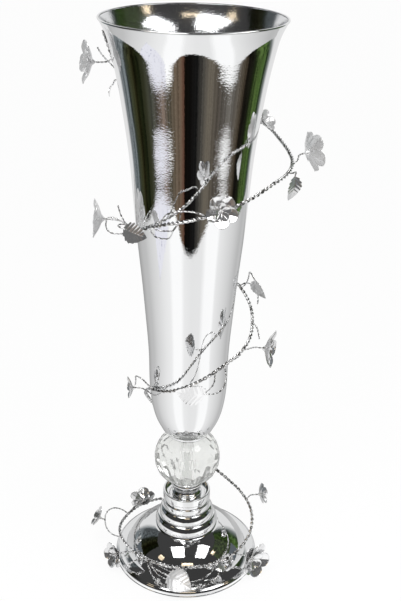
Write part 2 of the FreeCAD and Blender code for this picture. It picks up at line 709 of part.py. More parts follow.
# Flower: span, root of its twig, the twig's leaving direction, place of its back, size name,
# facing direction. Directions are outward, onward and upward shares.
FLOWER_SHARES = {
    "flower_rim": ("vine_rim", -171, (0.8, 0.2, -0.6), by_trumpet(-177, 0.46, 0.929),
                   "large_flower", (1.0, -0.33, 0.10)),
    "flower_upper_back": ("vine_rim", -50, (0.4, 0.5, 0.6), by_trumpet(-40, 0.80, 0.816),
                          "small_flower", (0.22, 0.73, 0.60)),
    "flower_upper_right": ("vine_upper", 14, (0.7, -0.6, 0.4), by_trumpet(-2, 1.26, 0.7920),
                           "large_flower", (1.0, -0.40, 0.08)),
    "flower_upper_front": ("vine_upper", 62, (0.8, 0.4, 0.3), by_trumpet(74, 0.93, 0.748),
                           "middle_flower", (1.0, 0.05, 0.30)),
    "flower_upper_left": ("vine_upper_back", 168, (0.6, 0.5, 0.6), by_trumpet(179, 0.77, 0.679),
                          "large_flower", (1.0, -0.10, 0.10)),
    "flower_behind": ("vine_upper_back", 262, (0.8, 0.3, 0.4), by_trumpet(272, 0.98, 0.605),
                      "large_flower", (1.0, 0.10, 0.15)),
    "flower_middle_right": ("vine_middle", 392, (0.8, -0.6, 0.1), by_trumpet(374, 0.91, 0.461),
                            "large_flower", (1.0, 0.02, -0.02)),
    "flower_middle_left": ("vine_middle", 484, (0.3, 0.6, -0.8), by_trumpet(527, 0.44, 0.374),
                           "small_flower", (1.0, 0.05, 0.05)),
    "flower_foot_high": ("vine_foot_back", 704, (0.5, -0.1, 0.8), by_foot(711, 1.030, 1.63),
                         "small_flower", (1.0, -0.15, -0.10)),
    "flower_foot_right": ("vine_foot", 760, (0.7, -0.6, -0.2), by_foot(747, 1.000, 0.47),
                          "large_flower", (1.0, 0.45, 0.20)),
    "flower_foot_left": ("vine_foot", 868, (0.7, 0.5, 0.2), by_foot(877, 1.030, 0.46),
                         "middle_flower", (1.0, -0.35, 0.20)),
    "flower_foot_far_left": ("vine_foot", LOOP_CREST, (1.0, -0.2, 0.3), by_foot(905.5, 1.225, 0.84),
                             "small_flower", (0.86, -0.10, 0.50)),
    "flower_foot_back": ("vine_foot", 932, (0.2, 0.3, 0.9), by_foot(942, 0.860, 0.76),
                         "middle_flower", (0.0, -0.25, 0.95)),
}

# Leaf: span, root of its twig, leaving direction, place of its foot, size name, the way that it
# points and the way that it faces.
LEAF_SHARES = {
    "leaf_rim": ("vine_rim", -160, (0.6, -0.2, -0.7), by_trumpet(-163, 0.24, 0.893),
                 "small_leaf", (0.3, -0.2, -0.9), (0.9, -0.2, 0.3)),
    "leaf_upper_right": ("vine_upper", 24, (0.6, -0.2, -0.7), by_trumpet(18, 1.10, 0.776),
                         "middle_leaf", (-0.16, 0.06, -1.0), (0.90, 0.40, 0.1)),
    "leaf_upper_left": ("vine_upper_back", 150, (0.5, 0.6, 0.6), by_trumpet(145.4, 0.62, 0.692),
                        "middle_leaf", (-0.54, -0.80, -0.24), (0.80, -0.58, 0.14)),
    "leaf_behind": ("vine_upper_back", 228, (0.7, 0.2, -0.6), by_trumpet(238, 0.62, 0.592),
                    "middle_leaf", (0.55, 0.35, -0.75), (0.80, -0.2, 0.55)),
    "leaf_middle_back": ("vine_middle", 318, (0.9, -0.1, 0.05), by_trumpet(348, 0.50, 0.5660),
                         "middle_leaf", (0.45, 0.09, -0.89), (-0.68, 0.38, -0.35)),
    "leaf_middle_front": ("vine_middle", 416, (0.6, 0.0, -0.8), by_trumpet(436, 1.05, 0.4290),
                          "large_leaf", (0.0, 0.97, 0.20), (0.88, 0.0, -0.20)),
    "leaf_lower_back": ("vine_lower_back", 592, (0.7, 0.3, 0.6), by_foot(601, 0.830, 3.95),
                        "middle_leaf", (0.6, 0.3, 0.7), (0.75, 0.0, -0.65)),
    "leaf_foot_side": ("vine_foot", 764, (0.8, 0.5, 0.3), by_foot(774, 0.905, 0.68),
                       "small_leaf", (0.1, 0.9, 0.1), (0.7, 0.0, 0.7)),
    "leaf_foot_front": ("vine_foot", 846, (0.8, 0.0, 0.2), by_foot(827.3, 0.921, 0.60),
                        "large_leaf", (0.20, -0.95, -0.18), (0.55, 0.0, 0.84)),
}

# Free tendrils: span, root, leaving direction, place of the tip, the way that the tip points.
TENDRIL_SHARES = (
    ("vine_rim", -166, (0.7, 0.4, 0.5), by_trumpet(-178, 0.30, 0.951), (0.2, -0.6, 0.7)),
    ("vine_upper_back", 176, (0.8, 0.3, 0.5), by_trumpet(188, 0.45, 0.695), (0.1, -0.4, 0.9)),
    ("vine_middle", 316, (0.8, 0.1, 0.4), by_trumpet(342.6, 0.77, 0.511), (-0.3, 0.35, -0.9)),
    ("vine_middle", 356, (0.7, 0.1, -0.6), by_trumpet(363.4, 0.78, 0.4655), (0.2, 0.2, -0.9)),
    ("vine_middle", 425, (0.6, 0.2, -0.7), by_trumpet(446, 0.44, 0.396), (0.0, 0.8, -0.5)),
    ("vine_foot", 852, (0.6, 0.3, 0.6), by_foot(866, 0.960, 0.36), (0.3, 0.7, -0.6)),
)

# Bows: span, swing where the wire leaves and its direction, the crest and the direction there,
# swing or place where the wire ends and its direction.
BOW_SHARES = (
    ("vine_upper", 80, (0.5, 0.7, 0.5), by_trumpet(98, 0.60, 0.741), (0.0, 1.0, -0.15),
     118, (-0.4, 0.7, -0.6)),
    ("vine_upper", 98, (0.3, 0.7, -0.7), by_trumpet(115, 0.22, 0.683), (0.0, 1.0, -0.05),
     134, (0.2, 0.8, 0.5)),
    ("vine_upper_back", 152, (0.87, 0.50, -0.35), by_trumpet(168, 0.75, 0.6819), (-0.1, 0.1, 1.0),
     162, (-0.75, -0.27, -0.6)),
    ("vine_middle", 506, (0.5, 0.6, 0.4), by_trumpet(513, 0.405, 0.4077), (0.3, 0.95, 0.0),
     by_trumpet(526, 0.42, 0.380), (0.2, 0.2, -1.0)),
    ("vine_middle", 398, (0.8, 0.4, 0.4), by_trumpet(414, 0.72, 0.470), (0.0, 1.0, -0.25),
     430, (-0.6, 0.6, -0.5)),
    ("vine_foot", 775, (0.8, 0.4, -0.5), by_foot(812, 0.985, 0.325), (0.0, 1.0, 0.0),
     852, (-0.5, 0.7, 0.6)),
    ("vine_foot", 926, (0.9, 0.1, 0.5), LOOP_CREST, (0.0, -0.2, -1.0), 894, (-0.8, -0.3, 0.2)),
)

# The main stem's lengths, each with the swings of its two ends.
SPAN_DEGREES = (
    ("vine_rim", -176.0, -20.0), ("vine_upper", -20.0, 140.0), ("vine_upper_back", 140.0, 310.0),
    ("vine_middle", 310.0, 525.0), ("vine_lower_back", 525.0, 665.0),
    ("vine_foot_back", 665.0, 735.0), ("vine_foot", 735.0, 966.0))


def flower_shape(diameter):
    """A stamped flower on its back, facing up: two cupped layers of five petals and a bud."""
    thick = size["petal_thickness"]
    calyx_height = diameter * 0.075
    shape = Part.makeCone(size["calyx_radius"], diameter * 0.075, calyx_height)
    for scale, lift, turn in ((1.0, 0.0, 0.0), (0.62, 0.035, 36.0)):
        reach = diameter * scale / 2
        curve = diameter * scale * 0.68
        base = calyx_height * 0.8 + diameter * lift
        centre = Vector(0, 0, base + curve)
        cup = Part.makeSphere(curve, centre).cut(Part.makeSphere(curve - thick, centre))
        lobes = [Part.makeCylinder(reach * 0.42, curve * 0.8,
                                   around(turn + 72.0 * petal, reach * 0.58, base - thick))
                 for petal in range(5)]
        middle = Part.makeCylinder(reach * 0.40, curve * 0.8, Vector(0, 0, base - thick))
        shape = shape.fuse(cup.common(middle.fuse(lobes)))
    bud = Part.makeSphere(diameter * 0.085, Vector(0, 0, calyx_height * 0.8 + diameter * 0.085))
    return shape.fuse(bud).removeSplitter()


# Half of a leaf's serrated edge: share of its length, share of its half width.
LEAF_EDGE_SHARES = (
    (0.10, 0.10), (0.17, 0.62), (0.23, 0.58), (0.31, 0.92), (0.36, 0.84), (0.46, 1.00), (0.51, 0.89),
    (0.61, 0.88), (0.65, 0.76), (0.76, 0.64), (0.80, 0.51), (0.89, 0.34), (0.92, 0.24), (1.00, 0.0))


def leaf_shape(length):
    """A stamped leaf that points along X and faces up: a serrated blade, bent, with a short stalk."""
    half = length * 0.40
    thick = size["leaf_thickness"]
    upper = [Vector(length * along, half * across, 0) for along, across in LEAF_EDGE_SHARES]
    lower = [Vector(point.x, -point.y, 0) for point in reversed(upper[:-1])]
    curve = length * 1.1
    outline = Part.Face(Part.makePolygon(upper + lower + upper[:1]))
    block = outline.extrude(UP * (2 * curve))
    block.translate(Vector(0, 0, -curve))
    axis_start = Vector(length * 0.5, -length, -curve + thick)
    outside = Part.makeCylinder(curve, 2 * length, axis_start, Vector(0, 1, 0))
    inside = Part.makeCylinder(curve - thick, 2 * length, axis_start, Vector(0, 1, 0))
    blade = outside.cut(inside).common(block)
    blade = max(blade.Solids, key=lambda solid: solid.CenterOfMass.z)
    drop = math.sqrt(curve ** 2 - (length * 0.38) ** 2) - curve + thick / 2
    blade.translate(Vector(0, 0, -drop))
    stalk = Part.makeCylinder(size["twig_radius"], length * 0.2, ORIGIN, Vector(1, 0, 0))
    return blade.fuse(stalk)


def placed(shape, place, ahead, facing, axis):
    """Turn a shape so that its axis points ahead and its other axis faces as asked, then place it."""
    side = facing.cross(ahead).normalize()
    square = ahead.cross(side).normalize()
    if axis == "x":
        columns = (ahead, side, square)
    else:
        columns = (side, square, ahead)
    matrix = FreeCAD.Matrix(columns[0].x, columns[1].x, columns[2].x, 0,
                            columns[0].y, columns[1].y, columns[2].y, 0,
                            columns[0].z, columns[1].z, columns[2].z, 0,
                            0, 0, 0, 1)
    return FreeCAD.Placement(around(*place), FreeCAD.Placement(matrix).Rotation)


def vine():
    """The vine: stem lengths with their twigs, then the flowers and leaves on the twigs' ends."""
    twigs = {name: [] for name, first, last in SPAN_DEGREES}
    shapes = {}
    for label, (span, swing, leaving, place, width, facing) in FLOWER_SHARES.items():
        ahead = heading(place[0], *facing)
        twigs[span].append(twig(swing, leaving, place, ahead))
        if width not in shapes:
            shapes[width] = flower_shape(size[width])
        flower = keep_shape(label, shapes[width].copy())
        flower.Placement = placed(flower.Shape, place, ahead, UP.cross(ahead), "z")
    for label, (span, swing, leaving, place, length, pointing, facing) in LEAF_SHARES.items():
        ahead = heading(place[0], *pointing)
        twigs[span].append(twig(swing, leaving, place, ahead))
        if length not in shapes:
            shapes[length] = leaf_shape(size[length])
        leaf = keep_shape(label, shapes[length].copy())
        leaf.Placement = placed(leaf.Shape, place, ahead, heading(place[0], *facing), "x")
    for span, swing, leaving, place, tip in TENDRIL_SHARES:
        twigs[span].append(twig(swing, leaving, place, heading(place[0], *tip)))
    for row in BOW_SHARES:
        twigs[row[0]].append(bow(*row[1:]))
    for name, first, last in SPAN_DEGREES:
        points = stem_points(first, last)
        stem = tube(points, size["vine_wire_radius"])
        length = sum((after - before).Length for before, after in zip(points, points[1:]))
        print("%s: %.0f mm long, volume share %.3f" % (
            name, length, stem.Volume / (math.pi * size["vine_wire_radius"] ** 2 * length)))
        if twigs[name]:
            stem = stem.fuse(twigs[name])
        keep_shape(name, stem)


keep(cylinder("felt_pad", FELT, ["felt_thickness"]), "felt_pad")
foot_dome()
base_weight()
step_cup("lower_step", size["lower_step_radius"], size["lower_step_top_radius"], FOOT_TOP, LOWER_STEP_TOP)
step_cup("upper_step", size["upper_step_radius"], size["upper_step_top_radius"],
         LOWER_STEP_TOP, UPPER_STEP_TOP)
turned("lower_collar",
       [(BORE, UPPER_STEP_TOP), (["collar_radius"], UPPER_STEP_TOP),
        (["collar_radius"], LOWER_COLLAR_TOP), (BORE, LOWER_COLLAR_TOP)],
       [(["collar_radius"], LOWER_COLLAR_TOP, "collar_round")])
ring("neck_spacer", SPACER_RADIUS, BORE, ["spacer_height"], LOWER_COLLAR_TOP)
upper_collar()
turned("ball_seat",
       [(BORE, DISH_FLOOR), (["seat_foot_radius"], DISH_FLOOR),
        (["seat_foot_radius"], DISH_FLOOR + ["seat_foot_height"]),
        (["seat_waist_radius"], DISH_FLOOR + ["seat_waist_height"]),
        (["seat_rim_radius"], SEAT_TOP + ["-seat_rim_height"]),
        (["seat_rim_radius"], SEAT_TOP + ["-seat_round"]),
        (["seat_crown_radius"], SEAT_TOP), (BORE, SEAT_TOP)],
       [(["seat_foot_radius"], DISH_FLOOR + ["seat_foot_height"], "seat_round")])
ring("ball_lower_gasket", ["gasket_radius"], BORE, ["gasket_thickness"], SEAT_TOP)
facet_ball()
ring("centre_sleeve", ["sleeve_radius"], BORE, ["ball_below", "ball_above", "-sleeve_inset"], BALL_BASE)
ring("ball_upper_gasket", ["gasket_radius"], BORE, ["gasket_thickness"], BALL_TOP)
turned("trumpet_seat",
       [(BORE, TOP_SEAT_BASE), (["top_seat_foot_radius"], TOP_SEAT_BASE),
        (["top_seat_radius"], TOP_SEAT_BASE + ["top_seat_foot_height"]),
        (["top_seat_radius"], TRUMPET_BASE), (BORE, TRUMPET_BASE)])
trumpet_body()
ring("water_seal", ["seal_radius"], ["rod_radius", "thread_clearance"], ["seal_thickness"], TRUMPET_FLOOR)
ring("top_washer", ["washer_radius"], BORE, ["washer_thickness"], SEAL_TOP)
hex_nut("top_nut", TOP_WASHER_TOP)
tie_rod()
ring("bottom_washer", ["washer_radius"], BORE, ["washer_thickness"], RECESS_ROOF + ["-washer_thickness"])
spring_washer()
hex_nut("bottom_nut", RECESS_ROOF + ["-washer_thickness", "-spring_washer_thickness", "-nut_height"])
vine()
doc.recompute()

for item in doc.Objects:
    if "Invalid" in item.State or "Error" in item.State:
        raise RuntimeError("%s failed: %s" % (item.Label, item.State))
for item in made:
    if item.Shape.isNull() or not item.Shape.isValid() or not item.Shape.Solids:
        raise RuntimeError("the shape of %s is not a valid solid" % item.Label)
for item in made:
    item.Shape.exportStep(os.path.join("parts", item.Label + ".step"))
    box = item.Shape.BoundBox
    print("%-22s %d solids  volume %10.1f  z %.1f to %.1f" % (
        item.Label, len(item.Shape.Solids), item.Shape.Volume, box.ZMin, box.ZMax))
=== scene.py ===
"""A tall trumpet vase of mirror-bright spun metal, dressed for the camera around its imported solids.

The vase stands on a stepped foot, holds a cut crystal ball in its neck and carries a twisted wire
vine with flowers and leaves. Sizes are written in millimetres and turned into metres at the last
step. Swings are degrees round the axis: 0 is the right, 90 the front, 180 the left, 270 the back.
"""

import logging
import math
from contextlib import contextmanager
from dataclasses import dataclass
from enum import Enum
from typing import Callable, Iterable, Iterator, Sequence

import bmesh
import bpy
import numpy as np
from mathutils import Matrix, Vector

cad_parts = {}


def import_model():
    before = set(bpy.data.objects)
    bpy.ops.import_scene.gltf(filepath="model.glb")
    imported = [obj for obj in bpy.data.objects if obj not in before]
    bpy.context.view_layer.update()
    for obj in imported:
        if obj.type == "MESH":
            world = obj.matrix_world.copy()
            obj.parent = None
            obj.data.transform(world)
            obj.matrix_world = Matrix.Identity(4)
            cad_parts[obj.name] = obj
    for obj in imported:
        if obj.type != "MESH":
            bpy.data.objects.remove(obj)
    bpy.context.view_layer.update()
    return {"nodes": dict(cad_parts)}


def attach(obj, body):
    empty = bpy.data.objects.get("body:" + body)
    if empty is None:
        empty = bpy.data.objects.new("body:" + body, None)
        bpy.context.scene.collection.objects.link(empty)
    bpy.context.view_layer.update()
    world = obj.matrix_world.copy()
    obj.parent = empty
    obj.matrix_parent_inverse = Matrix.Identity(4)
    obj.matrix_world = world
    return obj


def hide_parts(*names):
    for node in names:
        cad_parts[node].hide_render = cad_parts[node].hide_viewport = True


LOG = logging.getLogger("vase")
MM = 0.001
TURN = 2 * math.pi
Point = tuple[float, float]
Place = tuple[float, float, float]
Direction = tuple[float, float, float]
Colour = tuple[float, float, float, float]


def grey(value: float) -> Colour:
    """Return an even grey."""
    return (value, value, value, 1.0)


def shaded(colour: Colour, share: float) -> Colour:
    """Return a colour held back to a share of its light."""
    return tuple(share * part for part in colour[:3]) + (1.0,)


# ---- Node graphs


def maths(operation: str, reflected: bool = False) -> Callable[..., "Socket"]:
    """Make a method that adds one Math node.

    Args:
        operation: the node's operation.
        reflected: True if the other value comes first.

    Returns:
        The method.
    """
    def method(self: "Socket", *others: "Socket | float") -> "Socket":
        """Return the node's result."""
        values = (*others, self) if reflected else (self, *others)
        return self.graph.add("ShaderNodeMath", {"operation": operation}, dict(enumerate(values)))

    return method


class Socket:
    """A value in a node tree, so that sums on it read as plain Python.

    over and under give 1 or 0, either the larger of two values, size the value without its sign and
    angle_from the angle of the pair (self, other) in radians.
    """

    __add__ = __radd__ = maths("ADD")
    __sub__, __rsub__ = maths("SUBTRACT"), maths("SUBTRACT", True)
    __mul__ = __rmul__ = maths("MULTIPLY")
    __truediv__, __rtruediv__ = maths("DIVIDE"), maths("DIVIDE", True)
    over, under = maths("GREATER_THAN"), maths("LESS_THAN")
    either, size, angle_from = maths("MAXIMUM"), maths("ABSOLUTE"), maths("ARCTAN2")

    def __init__(self, graph: "Graph", link: bpy.types.NodeSocket) -> None:
        """Keep the graph and the output that carries the value."""
        self.graph = graph
        self.link = link

    def between(self, low: float, high: float) -> "Socket":
        """Return 1 where the value lies between two edges and 0 elsewhere."""
        return self.over(low) * self.under(high)

    def ramped(self, low: float, high: float) -> "Socket":
        """Return the value's way from low to high, held between 0 and 1."""
        return self.graph.add("ShaderNodeMapRange", {"clamp": True},
                              {0: self, 1: low, 2: high, 3: 0.0, 4: 1.0})


class Graph:
    """Nodes and links of one material, world or geometry tree."""

    def __init__(self, tree: bpy.types.NodeTree) -> None:
        """Start on a tree and drop what it holds."""
        self.tree = tree
        tree.nodes.clear()

    def add(self, kind: str, settings: dict | None = None, inputs: dict | None = None,
            output: int | str = 0) -> Socket | None:
        """Add a node.

        Args:
            kind: the node's type name.
            settings: its settings; "stops" fills a colour ramp.
            inputs: values or sockets by input name or number.
            output: the output that is wanted.

        Returns:
            That output, or nothing where the node has none.
        """
        node = self.tree.nodes.new(kind)
        for key, value in (settings or {}).items():
            if key == "stops":
                self._fill_ramp(node.color_ramp, value)
            else:
                setattr(node, key, value)
        for key, value in (inputs or {}).items():
            if isinstance(value, Socket):
                self.tree.links.new(value.link, node.inputs[key])
            elif value is not None:
                node.inputs[key].default_value = value
        return Socket(self, node.outputs[output]) if len(node.outputs) else None

    @staticmethod
    def _fill_ramp(ramp: bpy.types.ColorRamp, stops: Sequence[tuple[float, Colour]]) -> None:
        """Write the stops of a colour ramp.

        Args:
            ramp: the ramp.
            stops: places and colours, in order.
        """
        while len(ramp.elements) > 1:
            ramp.elements.remove(ramp.elements[-1])
        for number, (place, colour) in enumerate(stops):
            element = ramp.elements[0] if number == 0 else ramp.elements.new(place)
            element.position = place
            element.color = colour

    def mix(self, factor: Socket | float, first: Socket | Colour, second: Socket | Colour,
            blend: str = "MIX") -> Socket:
        """Mix two colours by a factor."""
        return self.add("ShaderNodeMix", {"data_type": "RGBA", "blend_type": blend},
                        {0: factor, 6: first, 7: second}, 2)


class Surface(Graph):
    """The node tree of one material."""

    def __init__(self, name: str) -> None:
        """Make an empty material of that name.

        Args:
            name: the material's name.
        """
        self.material = bpy.data.materials.new(name)
        self.material.use_nodes = True
        super().__init__(self.material.node_tree)

    def place(self) -> tuple[Socket, Socket, Socket, Socket]:
        """Return the object coordinates as a vector and as x, y and z.

        Returns:
            The four sockets.
        """
        vector = self.add("ShaderNodeTexCoord", output="Object")
        parts = self.add("ShaderNodeSeparateXYZ", inputs={0: vector}).link.node
        return (vector, *(Socket(self, parts.outputs[number]) for number in range(3)))

    def noise(self, vector: Socket, scale: float, detail: float = 2.0, roughness: float = 0.5) -> Socket:
        """Return a noise value over a vector."""
        return self.add("ShaderNodeTexNoise", inputs={
            "Vector": vector, "Scale": scale, "Detail": detail, "Roughness": roughness})

    def vector(self, x: Socket | float, y: Socket | float, z: Socket | float) -> Socket:
        """Join three values to a vector."""
        return self.add("ShaderNodeCombineXYZ", inputs={0: x, 1: y, 2: z})

    def bump(self, height: Socket, strength: float, distance: float) -> Socket:
        """Return a normal bent by a height."""
        return self.add("ShaderNodeBump", inputs={
            "Height": height, "Strength": strength, "Distance": distance})

    def principled(self, **inputs: object) -> bpy.types.Material:
        """End the material in a Principled shader.

        Args:
            inputs: socket names with spaces as underscores.

        Returns:
            The material.
        """
        return self.finish(self.add("ShaderNodeBsdfPrincipled", inputs={
            key.replace("_", " "): value for key, value in inputs.items()}))

    def glowing(self, colour: Socket | Colour, level: Socket | float = 1.0) -> bpy.types.Material:
        """End the material in an even glow."""
        return self.finish(self.add("ShaderNodeEmission", inputs={"Color": colour, "Strength": level}))

    def finish(self, shader: Socket) -> bpy.types.Material:
        """Join a shader to the output and return the material."""
        self.add("ShaderNodeOutputMaterial", inputs={0: shader})
        return self.material


# ---- Finishes


@dataclass(frozen=True)
class SpunMirror:
    """Mirror-bright metal with the fine rings that spinning leaves and a slight orange peel."""

    name: str = "spun mirror"
    tone: Colour = (0.90, 0.905, 0.91, 1.0)
    haze: float = 0.012
    ring_density: float = 800.0
    ring_depth_mm: float = 0.003
    ring_haze: float = 0.01
    wave_density: float = 60.0
    wave_depth_mm: float = 0.05
    wave_stretch: float = 0.15
    peel_density: float = 620.0
    peel_depth_mm: float = 0.022
    cloud_density: float = 18.0
    cloud_haze: float = 0.006
    cloud_shade: float = 0.95

    def build(self) -> bpy.types.Material:
        """Build the material: rings run round the axis, so they follow height less radius.

        Returns:
            The material.
        """
        surface = Surface(self.name)
        vector, x, y, z = surface.place()
        radius = surface.add("ShaderNodeVectorMath", {"operation": "LENGTH"},
                             {0: surface.vector(x, y, 0.0)}, 1)
        along = z - radius
        rings = surface.noise(surface.vector(along, 0.0, 0.0), self.ring_density, 3.0, 0.7)
        waves = surface.noise(surface.vector(x * self.wave_stretch, y * self.wave_stretch, along),
                              self.wave_density, 1.0)
        peel = surface.noise(vector, self.peel_density, 1.0, 0.5)
        height = rings * self.ring_depth_mm + waves * self.wave_depth_mm + peel * self.peel_depth_mm
        cloud = surface.noise(vector, self.cloud_density, 3.0)
        return surface.principled(
            Base_Color=surface.mix(cloud * 0.5, self.tone, shaded(self.tone, self.cloud_shade)),
            Metallic=1.0, Roughness=rings * self.ring_haze + self.haze + cloud * self.cloud_haze,
            Normal=surface.bump(height, 1.0, MM))


@dataclass(frozen=True)
class WireMirror:
    """Bright plated wire with slight draw marks and noise patches of painted shade towards a dark tone."""

    name: str = "plated wire"
    tone: Colour = (0.94, 0.94, 0.945, 1.0)
    # dark_tone is the colour of the painted shade.
    dark_tone: Colour = (0.22, 0.215, 0.21, 1.0)
    painted_shade_density: float = 230.0
    painted_shade_edges: Point = (0.50, 0.60)
    speck_density: float = 420.0
    speck_depth_mm: float = 0.2
    speck_haze: float = 0.04
    speck_strength: float = 0.15
    haze: float = 0.03

    def build(self) -> bpy.types.Material:
        """Build the material.

        Returns:
            The material.
        """
        surface = Surface(self.name)
        vector = surface.place()[0]
        specks = surface.noise(vector, self.speck_density, 3.0, 0.6)
        # Painted shade: noise patches darken the wire's colour towards dark_tone.
        painted_shade = surface.noise(vector, self.painted_shade_density, 2.0, 0.5).ramped(*self.painted_shade_edges)
        return surface.principled(
            Base_Color=surface.mix(painted_shade, self.tone, self.dark_tone),
            Metallic=1.0, Roughness=specks * self.speck_haze + self.haze,
            Normal=surface.bump(specks, self.speck_strength, self.speck_depth_mm * MM))


@dataclass(frozen=True)
class StampedMirror:
    """Thin plated sheet, slightly hammered by the stamping tool."""

    name: str = "stamped plated sheet"
    haze: float = 0.12
    metal: float = 0.9
    tone: Colour = (0.94, 0.94, 0.945, 1.0)
    dent_density: float = 110.0
    dent_depth_mm: float = 0.30
    dent_shade: float = 0.9
    dent_strength: float = 0.35
    grain_density: float = 900.0
    grain_share: float = 0.04
    grain_haze: float = 0.05

    def build(self) -> bpy.types.Material:
        """Build the material.

        Returns:
            The material.
        """
        surface = Surface(self.name)
        vector = surface.place()[0]
        dents = surface.noise(vector, self.dent_density, 1.0, 0.5)
        grain = surface.noise(vector, self.grain_density, 2.0, 0.6)
        return surface.principled(
            Base_Color=surface.mix(dents, self.tone, shaded(self.tone, self.dent_shade)),
            Metallic=self.metal, Roughness=grain * self.grain_haze + self.haze,
            Normal=surface.bump(dents + grain * self.grain_share, self.dent_strength,
                                self.dent_depth_mm * MM))


@dataclass(frozen=True)
class CutCrystal:
    """Cut glass with polished facets and a milky body."""

    name: str = "cut crystal"
    tone: Colour = (0.945, 0.95, 0.935, 1.0)
    cloud_tone: Colour = (0.915, 0.925, 0.905, 1.0)
    cloud_density: float = 30.0
    cloud_haze: float = 0.02
    haze: float = 0.01
    refraction: float = 1.52
    clearness: float = 0.80

    def build(self) -> bpy.types.Material:
        """Build the material.

        Returns:
            The material.
        """
        surface = Surface(self.name)
        cloud = surface.noise(surface.place()[0], self.cloud_density)
        return surface.principled(
            Base_Color=surface.mix(cloud, self.tone, self.cloud_tone),
            Roughness=cloud * self.cloud_haze + self.haze, IOR=self.refraction,
            Transmission_Weight=self.clearness)


@dataclass(frozen=True)
class PlainFinish:
    """A simple dielectric or dull metal finish with its grain."""

    name: str
    tone: Colour
    dark_tone: Colour
    roughness: float
    metallic: float = 0.0
    grain_density: float = 300.0
    grain_depth_mm: float = 0.05
    sheen: float = 0.0
    cloud_density: float = 40.0
    cloud_share: float = 0.3
    grain_haze: float = 0.2
    grain_strength: float = 0.6

    def build(self) -> bpy.types.Material:
        """Build the material.

        Returns:
            The material.
        """
        surface = Surface(self.name)
        vector = surface.place()[0]
        grain = surface.noise(vector, self.grain_density, 4.0, 0.65)
        cloud = surface.noise(vector, self.cloud_density)
        return surface.principled(
            Base_Color=surface.mix(grain * (1 - self.cloud_share) + cloud * self.cloud_share,
                                   self.dark_tone, self.tone),
            Metallic=self.metallic, Sheen_Weight=self.sheen,
            Roughness=grain * self.grain_haze + (self.roughness - self.grain_haze / 2),
            Normal=surface.bump(grain, self.grain_strength, self.grain_depth_mm * MM))


class Finish(Enum):
    """The finishes of the vase; each value is the recipe of one."""

    SPUN = SpunMirror()
    BORED = SpunMirror("brushed inside", (0.84, 0.845, 0.86, 1.0), haze=0.122, ring_density=700.0,
                       ring_depth_mm=0.010, peel_density=500.0, peel_depth_mm=0.10)
    WIRE = WireMirror()
    STAMPED = StampedMirror()
    SATIN = StampedMirror("satin plated sheet", haze=0.3, metal=0.6)
    CRYSTAL = CutCrystal()
    FELT = PlainFinish("felt", (0.10, 0.10, 0.105, 1), (0.03, 0.03, 0.032, 1), 0.95, 0.0, 900.0, 0.3, 0.3)
    IRON = PlainFinish("cast iron", (0.24, 0.24, 0.25, 1), (0.12, 0.12, 0.125, 1), 0.6, 0.8, 260.0, 0.15)
    ZINC = PlainFinish("zinc plated steel", (0.66, 0.66, 0.67, 1), (0.50, 0.50, 0.52, 1), 0.32, 1.0, 500.0,
                       0.01)
    GASKET = PlainFinish("clear gasket", (0.85, 0.86, 0.86, 1), (0.74, 0.75, 0.75, 1), 0.35, 0.0, 200.0, 0.01)
    RUBBER = PlainFinish("black rubber", grey(0.06), grey(0.035), 0.65, 0.0, 600.0, 0.02)

    def material(self) -> bpy.types.Material:
        """Return the finish's material, building it the first time."""
        return bpy.data.materials.get(self.value.name) or self.value.build()


# ---- Mesh helpers


def make_object(name: str, mesh: bpy.types.Mesh, finish: Finish | None = None) -> bpy.types.Object:
    """Put a mesh in the scene.

    Args:
        name: the object's name.
        mesh: its mesh, already in place.
        finish: its finish, if it has one.

    Returns:
        The object.
    """
    obj = bpy.data.objects.new(name, mesh)
    bpy.context.scene.collection.objects.link(obj)
    if finish:
        mesh.materials.clear()
        mesh.materials.append(finish.material())
    return obj


def mesh_from(name: str, points: Iterable, faces: Iterable = (), edges: Iterable = ()) -> bpy.types.Mesh:
    """Make a mesh from points, faces and edges.

    Args:
        name: the mesh's name.
        points: its points, in metres.
        faces: numbers of points, one row a face.
        edges: pairs of numbers, where it has no faces.

    Returns:
        The mesh.
    """
    mesh = bpy.data.meshes.new(name)
    mesh.from_pydata([tuple(point) for point in points], list(edges), list(faces))
    mesh.update()
    return mesh


@contextmanager
def bench(mesh: bpy.types.Mesh) -> Iterator[bmesh.types.BMesh]:
    """Lend an empty work mesh and write it to a mesh afterwards.

    Args:
        mesh: the mesh that is written.

    Returns:
        The work mesh, for a with statement.
    """
    work = bmesh.new()
    yield work
    work.to_mesh(mesh)
    work.free()


def shade(mesh: bpy.types.Mesh, sharp_degrees: float) -> bpy.types.Mesh:
    """Shade a mesh smooth, but for edges that are bent more than an angle.

    Args:
        mesh: the mesh.
        sharp_degrees: edges bent more than this stay sharp.

    Returns:
        The same mesh.
    """
    for face in mesh.polygons:
        face.use_smooth = True
    mesh.set_sharp_from_angle(angle=math.radians(sharp_degrees))
    return mesh


def tidy(mesh: bpy.types.Mesh, sharp_degrees: float, merge_mm: float = 0.002) -> bpy.types.Mesh:
    """Merge doubles, turn the faces outwards and shade smooth up to an angle.

    Args:
        mesh: the mesh.
        sharp_degrees: edges bent more than this stay sharp.
        merge_mm: points nearer than this become one.

    Returns:
        The same mesh.
    """
    with bench(mesh) as work:
        work.from_mesh(mesh)
        bmesh.ops.remove_doubles(work, verts=work.verts, dist=merge_mm * MM)
        bmesh.ops.recalc_face_normals(work, faces=work.faces)
    return shade(mesh, sharp_degrees)


def joined(name: str, meshes: Iterable[bpy.types.Mesh]) -> bpy.types.Mesh:
    """Join meshes into one and remove them.

    Args:
        name: the new mesh's name.
        meshes: the meshes.

    Returns:
        The new mesh.
    """
    result = bpy.data.meshes.new(name)
    with bench(result) as work:
        for mesh in meshes:
            work.from_mesh(mesh)
            bpy.data.meshes.remove(mesh)
    return result


